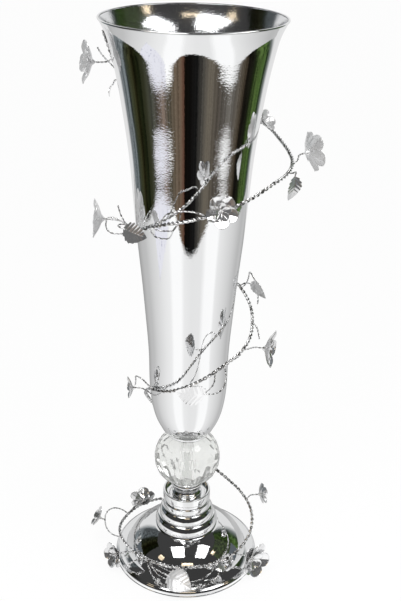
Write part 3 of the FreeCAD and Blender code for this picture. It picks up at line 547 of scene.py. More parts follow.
def realised(obj: bpy.types.Object) -> bpy.types.Mesh:
    """Return an object's mesh with its modifiers applied, and remove the object.

    Args:
        obj: the object.

    Returns:
        The mesh.
    """
    source = obj.data
    result = bpy.data.meshes.new_from_object(obj.evaluated_get(bpy.context.evaluated_depsgraph_get()))
    obj.modifiers.clear()
    bpy.data.objects.remove(obj)
    bpy.data.meshes.remove(source)
    return result


def sheet(name: str, along: Sequence[float], across: Sequence[float],
          place: Callable[[float, float], Place], thickness: float) -> bpy.types.Mesh:
    """Build a thin stamped sheet from a grid of places.

    Args:
        name: the mesh's name.
        along: the rows' shares from foot to tip.
        across: the columns' shares from edge to edge.
        place: gives the point in mm for a share along and a share across.
        thickness: the sheet's wall in mm.

    Returns:
        The closed mesh, in metres.
    """
    points = [Vector(place(u, v)) * MM for u in along for v in across]
    ring = len(across)
    faces = [(i * ring + j, (i + 1) * ring + j, (i + 1) * ring + j + 1, i * ring + j + 1)
             for i in range(len(along) - 1) for j in range(ring - 1)]
    obj = make_object("sheet", mesh_from(name, points, faces))
    wall = obj.modifiers.new("wall", "SOLIDIFY")
    wall.thickness = thickness * MM
    wall.offset = 0.0
    return tidy(realised(obj), 60.0, 0.02)


def arc_points(start: Point, end: Point, bulge: float, count: int) -> list[Point]:
    """Return points of an arc that swells outwards between two points of an outline.

    Args:
        start: first radius and height.
        end: last radius and height.
        bulge: how far the middle stands off the chord, in mm.
        count: number of steps.

    Returns:
        The points with both ends.
    """
    first, last = np.array(start), np.array(end)
    chord = last - first
    length = float(np.hypot(*chord))
    out = np.array([chord[1], -chord[0]]) / length
    if out[0] < 0:
        out = -out
    radius = (length * length / 4 + bulge * bulge) / (2 * bulge)
    centre = (first + last) / 2 + out * (bulge - radius)
    angles = [math.atan2(*(point - centre)[::-1]) for point in (first, last)]
    return [(float(centre[0] + radius * math.cos(angle)), float(centre[1] + radius * math.sin(angle)))
            for angle in np.linspace(angles[0], angles[1], count + 1)]


def round_corner(before: Point, corner: Point, after: Point, radius: float, count: int = 6) -> list[Point]:
    """Return points that round one corner of an outline with a quadratic bend.

    Args:
        before: the outline's point before the corner.
        corner: the corner.
        after: the point after it.
        radius: where the bend starts on both sides, in mm.
        count: number of steps.

    Returns:
        The points with both ends.
    """
    here = np.array(corner)
    towards = [np.array(point) - here for point in (before, after)]
    ends = [here + step / np.hypot(*step) * min(radius, np.hypot(*step) * 0.45) for step in towards]
    return [tuple(map(float, ends[0] * (1 - s) ** 2 + here * (2 * s * (1 - s)) + ends[1] * s * s))
            for s in np.linspace(0, 1, count + 1)]


def lathe(outline: Sequence[Point], segments: int = 160, sharp_degrees: float = 30.0) -> bpy.types.Mesh:
    """Spin a closed outline of (radius, height) in mm round the axis.

    Args:
        outline: the outline's points in order; the last joins the first.
        segments: steps round the axis.
        sharp_degrees: edges bent more than this stay sharp.

    Returns:
        The mesh, in metres.
    """
    turns = np.linspace(0, TURN, segments, endpoint=False)
    ring, total = len(outline), len(outline) * segments
    points = [(r * MM * math.cos(t), r * MM * math.sin(t), h * MM) for t in turns for r, h in outline]
    faces = [(s * ring + p, (s * ring + ring + p) % total, (s * ring + ring + (p + 1) % ring) % total,
              s * ring + (p + 1) % ring) for s in range(segments) for p in range(ring)]
    return tidy(mesh_from("turned", points, faces), sharp_degrees)


def natural_spline(points: Sequence[Point], count: int) -> list[Point]:
    """Sample a natural cubic spline through points, evenly by chord length.

    Args:
        points: the points that it passes.
        count: number of samples.

    Returns:
        The samples with both ends.
    """
    places = np.array(points, dtype=float)
    steps = np.hypot(*np.diff(places, axis=0).T)
    knots = np.concatenate([[0], np.cumsum(steps)])
    size = len(knots)
    matrix, right = np.zeros((size, size)), np.zeros((size, 2))
    matrix[0, 0] = matrix[-1, -1] = 1
    for i in range(1, size - 1):
        matrix[i, i - 1:i + 2] = steps[i - 1], 2 * (steps[i - 1] + steps[i]), steps[i]
        right[i] = 6 * ((places[i + 1] - places[i]) / steps[i] - (places[i] - places[i - 1]) / steps[i - 1])
    bends = np.linalg.solve(matrix, right)
    result = []
    for knot in np.linspace(0, knots[-1], count):
        i = min(int(np.searchsorted(knots, knot, side="right")) - 1, size - 2)
        left, over, run = knot - knots[i], knots[i + 1] - knot, steps[i]
        value = (bends[i] * over ** 3 + bends[i + 1] * left ** 3) / (6 * run)
        value = value + (places[i] / run - bends[i] * run / 6) * over
        value = value + (places[i + 1] / run - bends[i + 1] * run / 6) * left
        result.append((float(value[0]), float(value[1])))
    return result


def offset_outline(points: Sequence[Point], distance: float) -> list[Point]:
    """Return an open outline moved sideways, to the left of its direction.

    Args:
        points: the outline.
        distance: how far, in mm.

    Returns:
        The moved points.
    """
    places = np.array(points)
    slopes = np.gradient(places, axis=0)
    slopes /= np.hypot(*slopes.T)[:, None]
    return [tuple(map(float, place + np.array([-slope[1], slope[0]]) * distance))
            for place, slope in zip(places, slopes)]


def fit(piece: bpy.types.Object, slot: str, *nodes: str) -> None:
    """Fix a finished piece to the vase's one body.

    Args:
        piece: the object.
        slot: the name of a material slot; not used.
        nodes: the solids that it stands for.
    """
    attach(piece, "root")
    if nodes:
        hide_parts(*nodes)
    LOG.info("%s: %d faces", piece.name, len(piece.data.polygons))


# ---- Geometry trees


class Tree(Graph):
    """A geometry node tree that dresses one mesh and is then applied."""

    def __init__(self, name: str, sizes: dict[str, float | int]) -> None:
        """Make a tree with a geometry input and one input for each size.

        Args:
            name: the tree's name.
            sizes: its inputs with the values that they have by themselves.
        """
        self.group = bpy.data.node_groups.new(name, "GeometryNodeTree")
        super().__init__(self.group)
        self.sizes = sizes
        face = self.group.interface
        face.new_socket(name="Geometry", in_out="INPUT", socket_type="NodeSocketGeometry")
        for key, value in sizes.items():
            kind = "NodeSocketInt" if isinstance(value, int) else "NodeSocketFloat"
            face.new_socket(name=key, in_out="INPUT", socket_type=kind)
        face.new_socket(name="Geometry", in_out="OUTPUT", socket_type="NodeSocketGeometry")
        self.source = self.tree.nodes.new("NodeGroupInput")

    def size(self, name: str) -> Socket:
        """Return the input of that name."""
        return Socket(self, self.source.outputs[name])

    def join(self, parts: Sequence[Socket]) -> Socket:
        """Join geometry, the first part first.

        Args:
            parts: the geometry.

        Returns:
            The joined geometry.
        """
        node = self.tree.nodes.new("GeometryNodeJoinGeometry")
        for part in reversed(parts):
            self.tree.links.new(part.link, node.inputs[0])
        return Socket(self, node.outputs[0])

    def close(self, geometry: Socket, finish: Finish) -> None:
        """Realize instances, set the material and join the output.

        Args:
            geometry: what the tree gives.
            finish: its finish.
        """
        real = self.add("GeometryNodeRealizeInstances", inputs={0: geometry})
        dressed = self.add("GeometryNodeSetMaterial", inputs={0: real, "Material": finish.material()})
        self.add("NodeGroupOutput", inputs={0: dressed})

    def applied(self, mesh: bpy.types.Mesh, **sizes: float | int) -> bpy.types.Mesh:
        """Run the tree on a mesh.

        Args:
            mesh: the mesh that goes in; it is removed.
            sizes: inputs that differ from the tree's own, spaces written as underscores.

        Returns:
            The finished plain mesh.
        """
        obj = make_object("dressed", mesh)
        modifier = obj.modifiers.new("dress", "NODES")
        modifier.node_group = self.group
        wanted = {**self.sizes, **{key.replace("_", " "): value for key, value in sizes.items()}}
        for item in self.group.interface.items_tree:
            if item.item_type == "SOCKET" and item.in_out == "INPUT" and item.name in wanted:
                modifier[item.identifier] = wanted[item.name]
        return realised(obj)


def twisted_wire_tree() -> Tree:
    """Build the tree that lays round wires along a path and twists them.

    Returns:
        The tree. Its mesh input is a chain of edges; with no offset it gives one wire.
    """
    tree = Tree("twisted wire", {"Wire Radius": 0.0012, "Pair Offset": 0.0010, "Pitch": 0.0125,
                                 "Step": 0.0012, "Sides": 9})
    path = tree.add("GeometryNodeMeshToCurve", inputs={0: tree.size("Geometry")})
    even = tree.add("GeometryNodeResampleCurve", {"mode": "LENGTH"},
                    {"Curve": path, "Length": tree.size("Step")})
    length = tree.add("GeometryNodeSplineParameter", output="Length")
    tilt = length / tree.size("Pitch") * TURN
    twisted = tree.add("GeometryNodeSetCurveTilt", inputs={"Curve": even, "Tilt": tilt})
    circle = tree.add("GeometryNodeCurvePrimitiveCircle",
                      inputs={"Resolution": tree.size("Sides"), "Radius": tree.size("Wire Radius")})
    halves = []
    for side in (1.0, -1.0):
        aside = tree.add("ShaderNodeCombineXYZ", inputs={0: tree.size("Pair Offset") * side})
        halves.append(tree.add("GeometryNodeTransform", inputs={0: circle, "Translation": aside}))
    body = tree.add("GeometryNodeCurveToMesh", inputs={
        "Curve": twisted, "Profile Curve": tree.join(halves), "Fill Caps": True})
    tree.close(tree.add("GeometryNodeSetShadeSmooth", inputs={0: body}), Finish.WIRE)
    return tree


def rosette_tree() -> Tree:
    """Build the tree that sets petals round a flower's middle in two layers.

    Returns:
        The tree. Its mesh input is one petal that points along X.
    """
    tree = Tree("rosette", {"Petals": 5, "Inner Size": 0.56, "Inner Lift": 0.0016, "Inner Turn": 0.63,
                            "Inner Stretch": 1.25, "Sway": 0.06, "Side Share": 1.5, "Tip": 0.06, "Seed": 3})
    layers = []
    for inner in (False, True):
        points = tree.add("GeometryNodePoints", inputs={"Count": tree.size("Petals")})
        turn = tree.add("GeometryNodeInputIndex") / tree.size("Petals") * TURN
        if inner:
            turn = turn + tree.size("Inner Turn")
        chance = tree.add("FunctionNodeRandomValue", {"data_type": "FLOAT"}, {"Seed": tree.size("Seed")}, 1)
        sway = tree.size("Sway") * (chance - 0.5)
        euler = tree.add("ShaderNodeCombineXYZ", inputs={
            0: sway + tree.size("Tip"), 1: sway * tree.size("Side Share"), 2: turn})
        rotation = tree.add("FunctionNodeEulerToRotation", inputs={0: euler})
        petals = tree.add("GeometryNodeInstanceOnPoints", inputs={
            "Points": points, "Instance": tree.size("Geometry"), "Rotation": rotation})
        if inner:
            small, up = tree.size("Inner Size"), tree.size("Inner Lift")
            tall = small * tree.size("Inner Stretch")
            petals = tree.add("GeometryNodeTransform", inputs={
                0: petals, "Translation": tree.add("ShaderNodeCombineXYZ", inputs={2: up}),
                "Scale": tree.add("ShaderNodeCombineXYZ", inputs={0: small, 1: small, 2: tall})})
        layers.append(petals)
    tree.close(tree.join(layers), Finish.STAMPED)
    return tree


# ---- Turned metal


@dataclass
class TurnedMetal:
    """The spun and turned pieces of foot, neck and trumpet."""

    wall: float = 1.2
    bore: float = 4.25
    foot_radius: float = 94.1
    band: Point = (93.75, 5.5)
    brim: Point = (90.0, 10.0)
    crease: Point = (79.5, 14.0)
    shoulder: Point = (42.0, 50.0)
    band_bulge: float = 0.9
    crease_sag: float = 0.35
    dome_bulge: float = 4.9
    brim_round: float = 0.8
    rim_lift: float = 0.5
    roll_radius: float = 1.5
    lap: float = 0.8
    cups: tuple[tuple[str, Point, Point], ...] = (
        ("lower", (40.6, 50.0), (36.4, 65.5)), ("upper", (35.3, 65.5), (30.6, 78.5)))
    cup_bulge: float = 1.7
    shoulder_round: float = 5.0
    rings: tuple[tuple[str, str, float, tuple[Point, ...]], ...] = (
        ("lower_collar_turned", "lower_collar", 1.2, ((30.5, 78.5), (30.5, 87.0))),
        ("spacer_turned", "neck_spacer", 0.15, ((28.8, 87.0), (28.8, 92.0))),
        ("trumpet_seat_turned", "trumpet_seat", 0.7,
         ((22.6, 187.9), (25.2, 189.0), (26.2, 190.4), (26.2, 193.1))))
    collar_radius: float = 30.5
    collar_heights: Point = (92.0, 102.5)
    lip_radius: float = 28.0
    collar_round: float = 1.4
    lip_round: float = 2.2
    bowl: tuple[Point, ...] = ((27.7, 101.3), (26.8, 99.3), (25.2, 97.6), (22.8, 96.6), (20.2, 96.3))
    seat_side: tuple[Point, ...] = (
        (18.6, 96.3), (19.3, 97.0), (19.4, 98.4), (19.0, 99.6), (17.9, 100.5), (16.3, 101.9), (15.3, 104.5),
        (15.5, 107.3), (17.0, 110.3), (19.6, 112.3), (20.8, 113.5), (21.0, 114.7), (20.6, 115.8),
        (19.9, 116.45), (18.6, 116.8))
    mouth_radius: float = 100.4
    trumpet_base: float = 193.1
    trumpet_height: float = 506.5
    bead: float = 1.2
    lip_heading: Point = (0.42, 0.91)
    trumpet_shares: tuple[Point, ...] = (
        (0.240, 0.0), (0.272, 0.0009), (0.298, 0.0037), (0.318, 0.0100), (0.382, 0.036), (0.436, 0.072),
        (0.472, 0.130), (0.481, 0.210), (0.514, 0.309), (0.556, 0.408), (0.605, 0.506), (0.647, 0.605),
        (0.687, 0.703), (0.751, 0.802), (0.816, 0.881), (0.869, 0.931), (0.928, 0.971))

    def __post_init__(self) -> None:
        """Find the middle of the rolled bead."""
        self.seat_point = (self.mouth_radius - self.bead, self.trumpet_base + self.trumpet_height - self.bead)

    def trumpet_trace(self, count: int = 150) -> list[Point]:
        """Return points of the trumpet's outside from floor to lip.

        Args:
            count: number of points.

        Returns:
            The points, as radius and height in mm.
        """
        onward = np.array(self.lip_heading) / np.hypot(*self.lip_heading)
        end = np.array(self.seat_point) - onward * math.sqrt(self.bead ** 2 - (self.wall / 2) ** 2)
        end = end + np.array([onward[1], -onward[0]]) * (self.wall / 2)
        points = [(self.mouth_radius * across, self.trumpet_base + self.trumpet_height * up)
                  for across, up in self.trumpet_shares] + [tuple(map(float, end))]
        return natural_spline(points, count)

    def trumpet(self) -> bpy.types.Mesh:
        """Build the trumpet with its rolled lip.

        Returns:
            The mesh, with one finish outside and one inside.
        """
        outer = self.trumpet_trace()
        inner = offset_outline(outer, self.wall)
        seat = self.seat_point
        start, stop = (math.atan2(h - seat[1], r - seat[0]) for r, h in (outer[-1], inner[-1]))
        stop += TURN if stop < start else 0.0
        bead = [(seat[0] + self.bead * math.cos(angle), seat[1] + self.bead * math.sin(angle))
                for angle in np.linspace(start, stop, 16)[1:-1]]
        inner[0] = (inner[0][0], self.trumpet_base + self.wall)
        mesh = lathe([(self.bore, self.trumpet_base)] + outer + bead + inner[::-1]
                     + [(self.bore, self.trumpet_base + self.wall)], 200)
        for finish in (Finish.SPUN, Finish.BORED):
            mesh.materials.append(finish.material())
        for face in mesh.polygons:
            face.material_index = int(face.normal.x * face.center.x + face.normal.y * face.center.y < 0)
        return mesh

    def foot(self) -> bpy.types.Mesh:
        """Build the foot's dome with its rolled edge.

        Returns:
            The mesh.
        """
        roll, low, wall = self.roll_radius, self.rim_lift, self.wall
        outline = [(self.foot_radius - roll + roll * math.cos(angle), low + roll + roll * math.sin(angle))
                   for angle in np.linspace(-math.pi / 2, math.pi / 3, 9)] + [self.band]
        outline += arc_points(self.band, self.brim, self.band_bulge, 8)[1:-1]
        outline += round_corner(self.band, self.brim, self.crease, self.brim_round)
        swell = arc_points(self.brim, self.crease, self.crease_sag, 8)
        for share, point in list(zip(np.linspace(0, 1, 9), swell))[2:-1]:
            outline.append(tuple(2 * (a + (b - a) * share) - c
                                 for a, b, c in zip(self.brim, self.crease, point)))
        dome = arc_points(self.crease, self.shoulder, self.dome_bulge, 60)
        outline += dome + [(self.bore, self.shoulder[1]), (self.bore, self.shoulder[1] - wall)]
        outline += [(r - wall / 2, h - wall) for r, h in dome[::-4]]
        outline += [(self.brim[0] - wall, self.brim[1] - wall),
                    (self.foot_radius - wall - self.lap, self.band[1]),
                    (self.foot_radius - wall - self.lap * 2, low)]
        return lathe(outline, 240)

    def cup(self, base: Point, top: Point) -> bpy.types.Mesh:
        """Build one bulged cup of the neck, mouth down, with a well rounded shoulder.

        Args:
            base: radius and height of its mouth.
            top: radius and height of its shoulder.

        Returns:
            The mesh.
        """
        skirt = arc_points(base, top, self.cup_bulge, 36)
        crown = round_corner(skirt[-14], skirt[-1], (self.bore, top[1]), self.shoulder_round, 14)
        outline = skirt[:-13] + crown + [(self.bore, top[1]), (self.bore, top[1] - self.wall)]
        outline += [(r - self.wall, h - self.wall * min(1.0, (h - base[1]) / 3)) for r, h in skirt[::-3]]
        return lathe(outline)

    def solid_ring(self, corners: Sequence[Point], ease: float) -> bpy.types.Mesh:
        """Build a solid turned ring whose outer corners are eased.

        Args:
            corners: the outside from bottom to top, bore points left out.
            ease: size of the eased corners in mm.

        Returns:
            The mesh.
        """
        loop = [(self.bore, corners[0][1])] + list(corners) + [(self.bore, corners[-1][1])]
        outline = [loop[0]]
        for before, corner, after in zip(loop, loop[1:-1], loop[2:]):
            outline += round_corner(before, corner, after, ease)
        return lathe(outline + [loop[-1]], sharp_degrees=40.0)

    def dished_collar(self) -> bpy.types.Mesh:
        """Build the upper collar with its thin lip and its bowl.

        Returns:
            The mesh.
        """
        (base, top), outer, lip = self.collar_heights, self.collar_radius, self.lip_radius
        outline = [(self.bore, base)]
        outline += round_corner((self.bore, base), (outer, base), (outer, top), self.collar_round)
        outline += round_corner((outer, base), (outer, top), (lip, top), self.lip_round, 10)
        outline += round_corner((outer, top), (lip, top), (lip - 0.4, top - 3), 0.5)
        outline += natural_spline(self.bowl, 18) + [(self.bore, self.bowl[-1][1])]
        return lathe(outline, 200, 50.0)

    def ball_seat(self) -> bpy.types.Mesh:
        """Build the waisted seat under the ball.

        Returns:
            The mesh.
        """
        side = self.seat_side
        return lathe([(self.bore, side[0][1])] + natural_spline(side, 60) + [(self.bore, side[-1][1])],
                     sharp_degrees=60.0)

    def build(self) -> None:
        """Make every turned piece and fix it in place of its solid."""
        rings = [(name, node, self.solid_ring(corners, ease)) for name, node, ease, corners in self.rings]
        cups = [(name + "_cup_spun", name + "_step", self.cup(base, top)) for name, base, top in self.cups]
        for name, node, mesh in [
                ("trumpet_spun", "trumpet_body", self.trumpet()), ("foot_spun", "foot_dome", self.foot()),
                *cups, *rings[:2], ("dished_collar_turned", "upper_collar", self.dished_collar()),
                ("ball_seat_turned", "ball_seat", self.ball_seat()), rings[2]]:
            mesh.name = name
            fit(make_object(name, mesh, None if mesh.materials else Finish.SPUN), "bright_chrome", node)


# ---- Vine


def around(swing: float, radius: float, height: float) -> Vector:
    """Return the point at a swing, a radius and a height, in mm."""
    turn = math.radians(swing)
    return Vector((radius * math.cos(turn), -radius * math.sin(turn), height))


def heading(swing: float, outwards: float, onwards: float, upwards: float) -> Vector:
    """Return a direction at a swing from its outward, onward and upward parts.

    Args:
        swing: the swing in degrees.
        outwards: part away from the axis.
        onwards: part along growing swings.
        upwards: part up.

    Returns:
        The direction, of length 1.
    """
    turn = math.radians(swing)
    out = Vector((math.cos(turn), -math.sin(turn), 0))
    onward = Vector((-math.sin(turn), -math.cos(turn), 0))
    return (out * outwards + onward * onwards + Vector((0, 0, upwards))).normalized()


@dataclass(frozen=True)
class Stamping:
    """One flower or leaf on its twig.

    Its own axis, a flower's middle or a leaf's midrib, goes ahead; a leaf also has the way that it faces.
    """

    node: str
    span: str
    root: float | Place
    leaving: Direction
    place: Place
    size: float
    ahead: Direction
    facing: Direction | None = None


@dataclass
class VineRoute:
    """The main stem's line and the places beside it, as the solids have them."""

    body: TurnedMetal
    reach: float = 45.0
    wire: float = 2.2
    clearance: float = 0.3
    run_degrees: float = 8.0
    rim_top: float = 699.6
    smoothings: int = 12
    beside_trumpet: tuple[Place, ...] = (
        (-176.0, 0.04, 0.9757), (-170.5, 0.04, 0.9290), (-165.0, 0.05, 0.9090), (-150.0, 0.11, 0.8800),
        (-128.0, 0.28, 0.8580), (-105.0, 0.58, 0.8450), (-82.0, 0.88, 0.8350), (-60.0, 1.04, 0.8240),
        (-42.0, 1.02, 0.8090), (-23.0, 0.89, 0.7975), (-5.0, 0.87, 0.7920), (12.0, 0.95, 0.7875),
        (27.0, 1.00, 0.7823), (42.0, 0.98, 0.7757), (57.0, 0.95, 0.7610), (72.0, 0.84, 0.7445),
        (93.0, 0.53, 0.7240), (116.0, 0.22, 0.7050), (143.0, 0.04, 0.6830), (168.0, 0.04, 0.6660),
        (190.0, 0.10, 0.6515), (215.0, 0.25, 0.6340), (240.0, 0.44, 0.6135), (265.0, 0.62, 0.5875),
        (290.0, 0.75, 0.5560), (312.0, 0.76, 0.5270), (333.0, 0.68, 0.5065), (358.0, 0.56, 0.4887),
        (388.0, 0.55, 0.4730), (415.0, 0.53, 0.4575), (439.0, 0.48, 0.4335), (453.0, 0.38, 0.4185),
        (471.0, 0.23, 0.4013), (495.0, 0.09, 0.3875), (518.0, 0.04, 0.3760), (540.0, 0.12, 0.3560),
        (565.0, 0.32, 0.3240))
    beside_foot: tuple[Place, ...] = (
        (590.0, 0.675, 3.90), (615.0, 0.700, 3.14), (640.0, 0.730, 2.26), (662.0, 0.765, 1.80),
        (678.0, 0.800, 1.60), (694.0, 0.855, 1.44), (710.0, 0.915, 1.26), (724.0, 0.932, 1.09),
        (738.0, 0.915, 0.93), (756.0, 0.868, 0.77), (773.0, 0.820, 0.66), (792.0, 0.772, 0.565),
        (810.0, 0.766, 0.53), (826.0, 0.774, 0.52), (843.0, 0.778, 0.53), (868.0, 0.815, 0.55),
        (888.0, 0.890, 0.56), (905.0, 0.955, 0.56), (928.0, 0.945, 0.55), (950.0, 0.930, 0.53),
        (966.0, 0.900, 0.51))

    def __post_init__(self) -> None:
        """Work out the profile traces and the stem's rows."""
        self.trace = self.body.trumpet_trace(400)
        dome = arc_points(self.body.crease, self.body.shoulder, self.body.dome_bulge, 60)
        self.dome = [self.body.brim] + dome
        self.rows = [self.by_trumpet(*row) for row in self.beside_trumpet]
        self.rows += [self.by_foot(*row) for row in self.beside_foot]

    def trumpet_radius(self, height: float) -> float:
        """Return the trumpet's outer radius at a height.

        Args:
            height: the height in mm.

        Returns:
            The radius in mm.
        """
        if height > self.trace[-1][1]:
            return self.trace[-1][0]
        return float(np.interp(height, [h for _, h in self.trace], [r for r, _ in self.trace]))

    def dome_height(self, radius: float) -> float:
        """Return the height of the foot's dome and brim at a radius.

        Args:
            radius: the radius in mm.

        Returns:
            The height in mm, 0 outside the brim.
        """
        if radius > self.body.brim[0]:
            return 0.0
        return float(np.interp(radius, [r for r, _ in self.dome[::-1]], [h for _, h in self.dome[::-1]]))

    def by_trumpet(self, swing: float, gap_share: float, height_share: float) -> Place:
        """Return a place beside the trumpet."""
        height = self.rim_top * height_share
        return swing, self.trumpet_radius(height) + self.reach * gap_share, height

    def by_foot(self, swing: float, radius_share: float, height_share: float) -> Place:
        """Return a place beside the foot."""
        return swing, self.body.foot_radius * radius_share, self.body.shoulder[1] * height_share

    def eased(self, column: int, swing: float) -> float:
        """Return a smooth value between the stem's rows.

        Args:
            column: 1 for the radius, 2 for the height.
            swing: the swing in degrees.

        Returns:
            The value in mm.
        """
        rows = self.rows
        index = max(number for number, row in enumerate(rows[:-1]) if row[0] <= swing + 1e-9)
        before, after = rows[index], rows[index + 1]

        def slope(number: int) -> float:
            """Return the slope at a row, from its neighbours."""
            low, high = rows[max(number - 1, 0)], rows[min(number + 1, len(rows) - 1)]
            return (high[column] - low[column]) / (high[0] - low[0])

        run = after[0] - before[0]
        share = (swing - before[0]) / run
        start, end = slope(index) * run, slope(index + 1) * run
        square, cube = share * share, share * share * share
        return (before[column] * (2 * cube - 3 * square + 1) + start * (cube - 2 * square + share)
                + after[column] * (3 * square - 2 * cube) + end * (cube - square))

    def stem_point(self, swing: float) -> Vector:
        """Return a point on the main stem's centre line, clear of the body.

        Args:
            swing: the swing in degrees; past an end the end counts.

        Returns:
            The point in mm.
        """
        swing = min(max(swing, self.rows[0][0]), self.rows[-1][0])
        radius, height = self.eased(1, swing), self.eased(2, swing)
        spare = self.wire + self.clearance
        chord = math.cos(math.radians(self.run_degrees / 2))
        wall = self.body.wall
        if height > self.body.trumpet_base:
            lean = (self.trumpet_radius(height + wall) - self.trumpet_radius(height - wall)) / (2 * wall)
            radius = max(radius, (self.trumpet_radius(height) + spare * math.hypot(1, lean)) / chord)
        elif height < self.body.shoulder[1] * 1.2:
            fall = (self.dome_height(radius - wall) - self.dome_height(radius + wall)) / (2 * wall)
            height = max(height, self.dome_height(radius * chord - spare * 0.2) + spare * math.hypot(1, fall))
        return around(swing, radius, height)

    def stem(self, first: float, last: float) -> list[Vector]:
        """Return a point for each degree of the stem between two swings, smoothed where it is held off.

        Args:
            first: the first swing.
            last: the last swing.

        Returns:
            The points in mm.
        """
        count = round(last - first)
        points = [self.stem_point(first + (last - first) * number / count) for number in range(count + 1)]
        for _ in range(self.smoothings):
            points = [points[0]] + [(a + b * 2 + c) / 4 for a, b, c in
                                    zip(points, points[1:-1], points[2:])] + [points[-1]]
        return points


def bend(start: Vector, leaving: Vector, end: Vector, arriving: Vector, count: int) -> list[Vector]:
    """Return points of a smooth bend between two points and directions.

    Args:
        start: the first point.
        leaving: the way it leaves there.
        end: the last point.
        arriving: the way it arrives there.
        count: number of steps.

    Returns:
        The points with both ends.
    """
    reach = (end - start).length * 0.45
    first, last = start + leaving * reach, end - arriving * reach
    return [start * (1 - s) ** 3 + first * (3 * (1 - s) ** 2 * s) + last * (3 * (1 - s) * s ** 2) + end * s ** 3
            for s in (number / count for number in range(count + 1))]


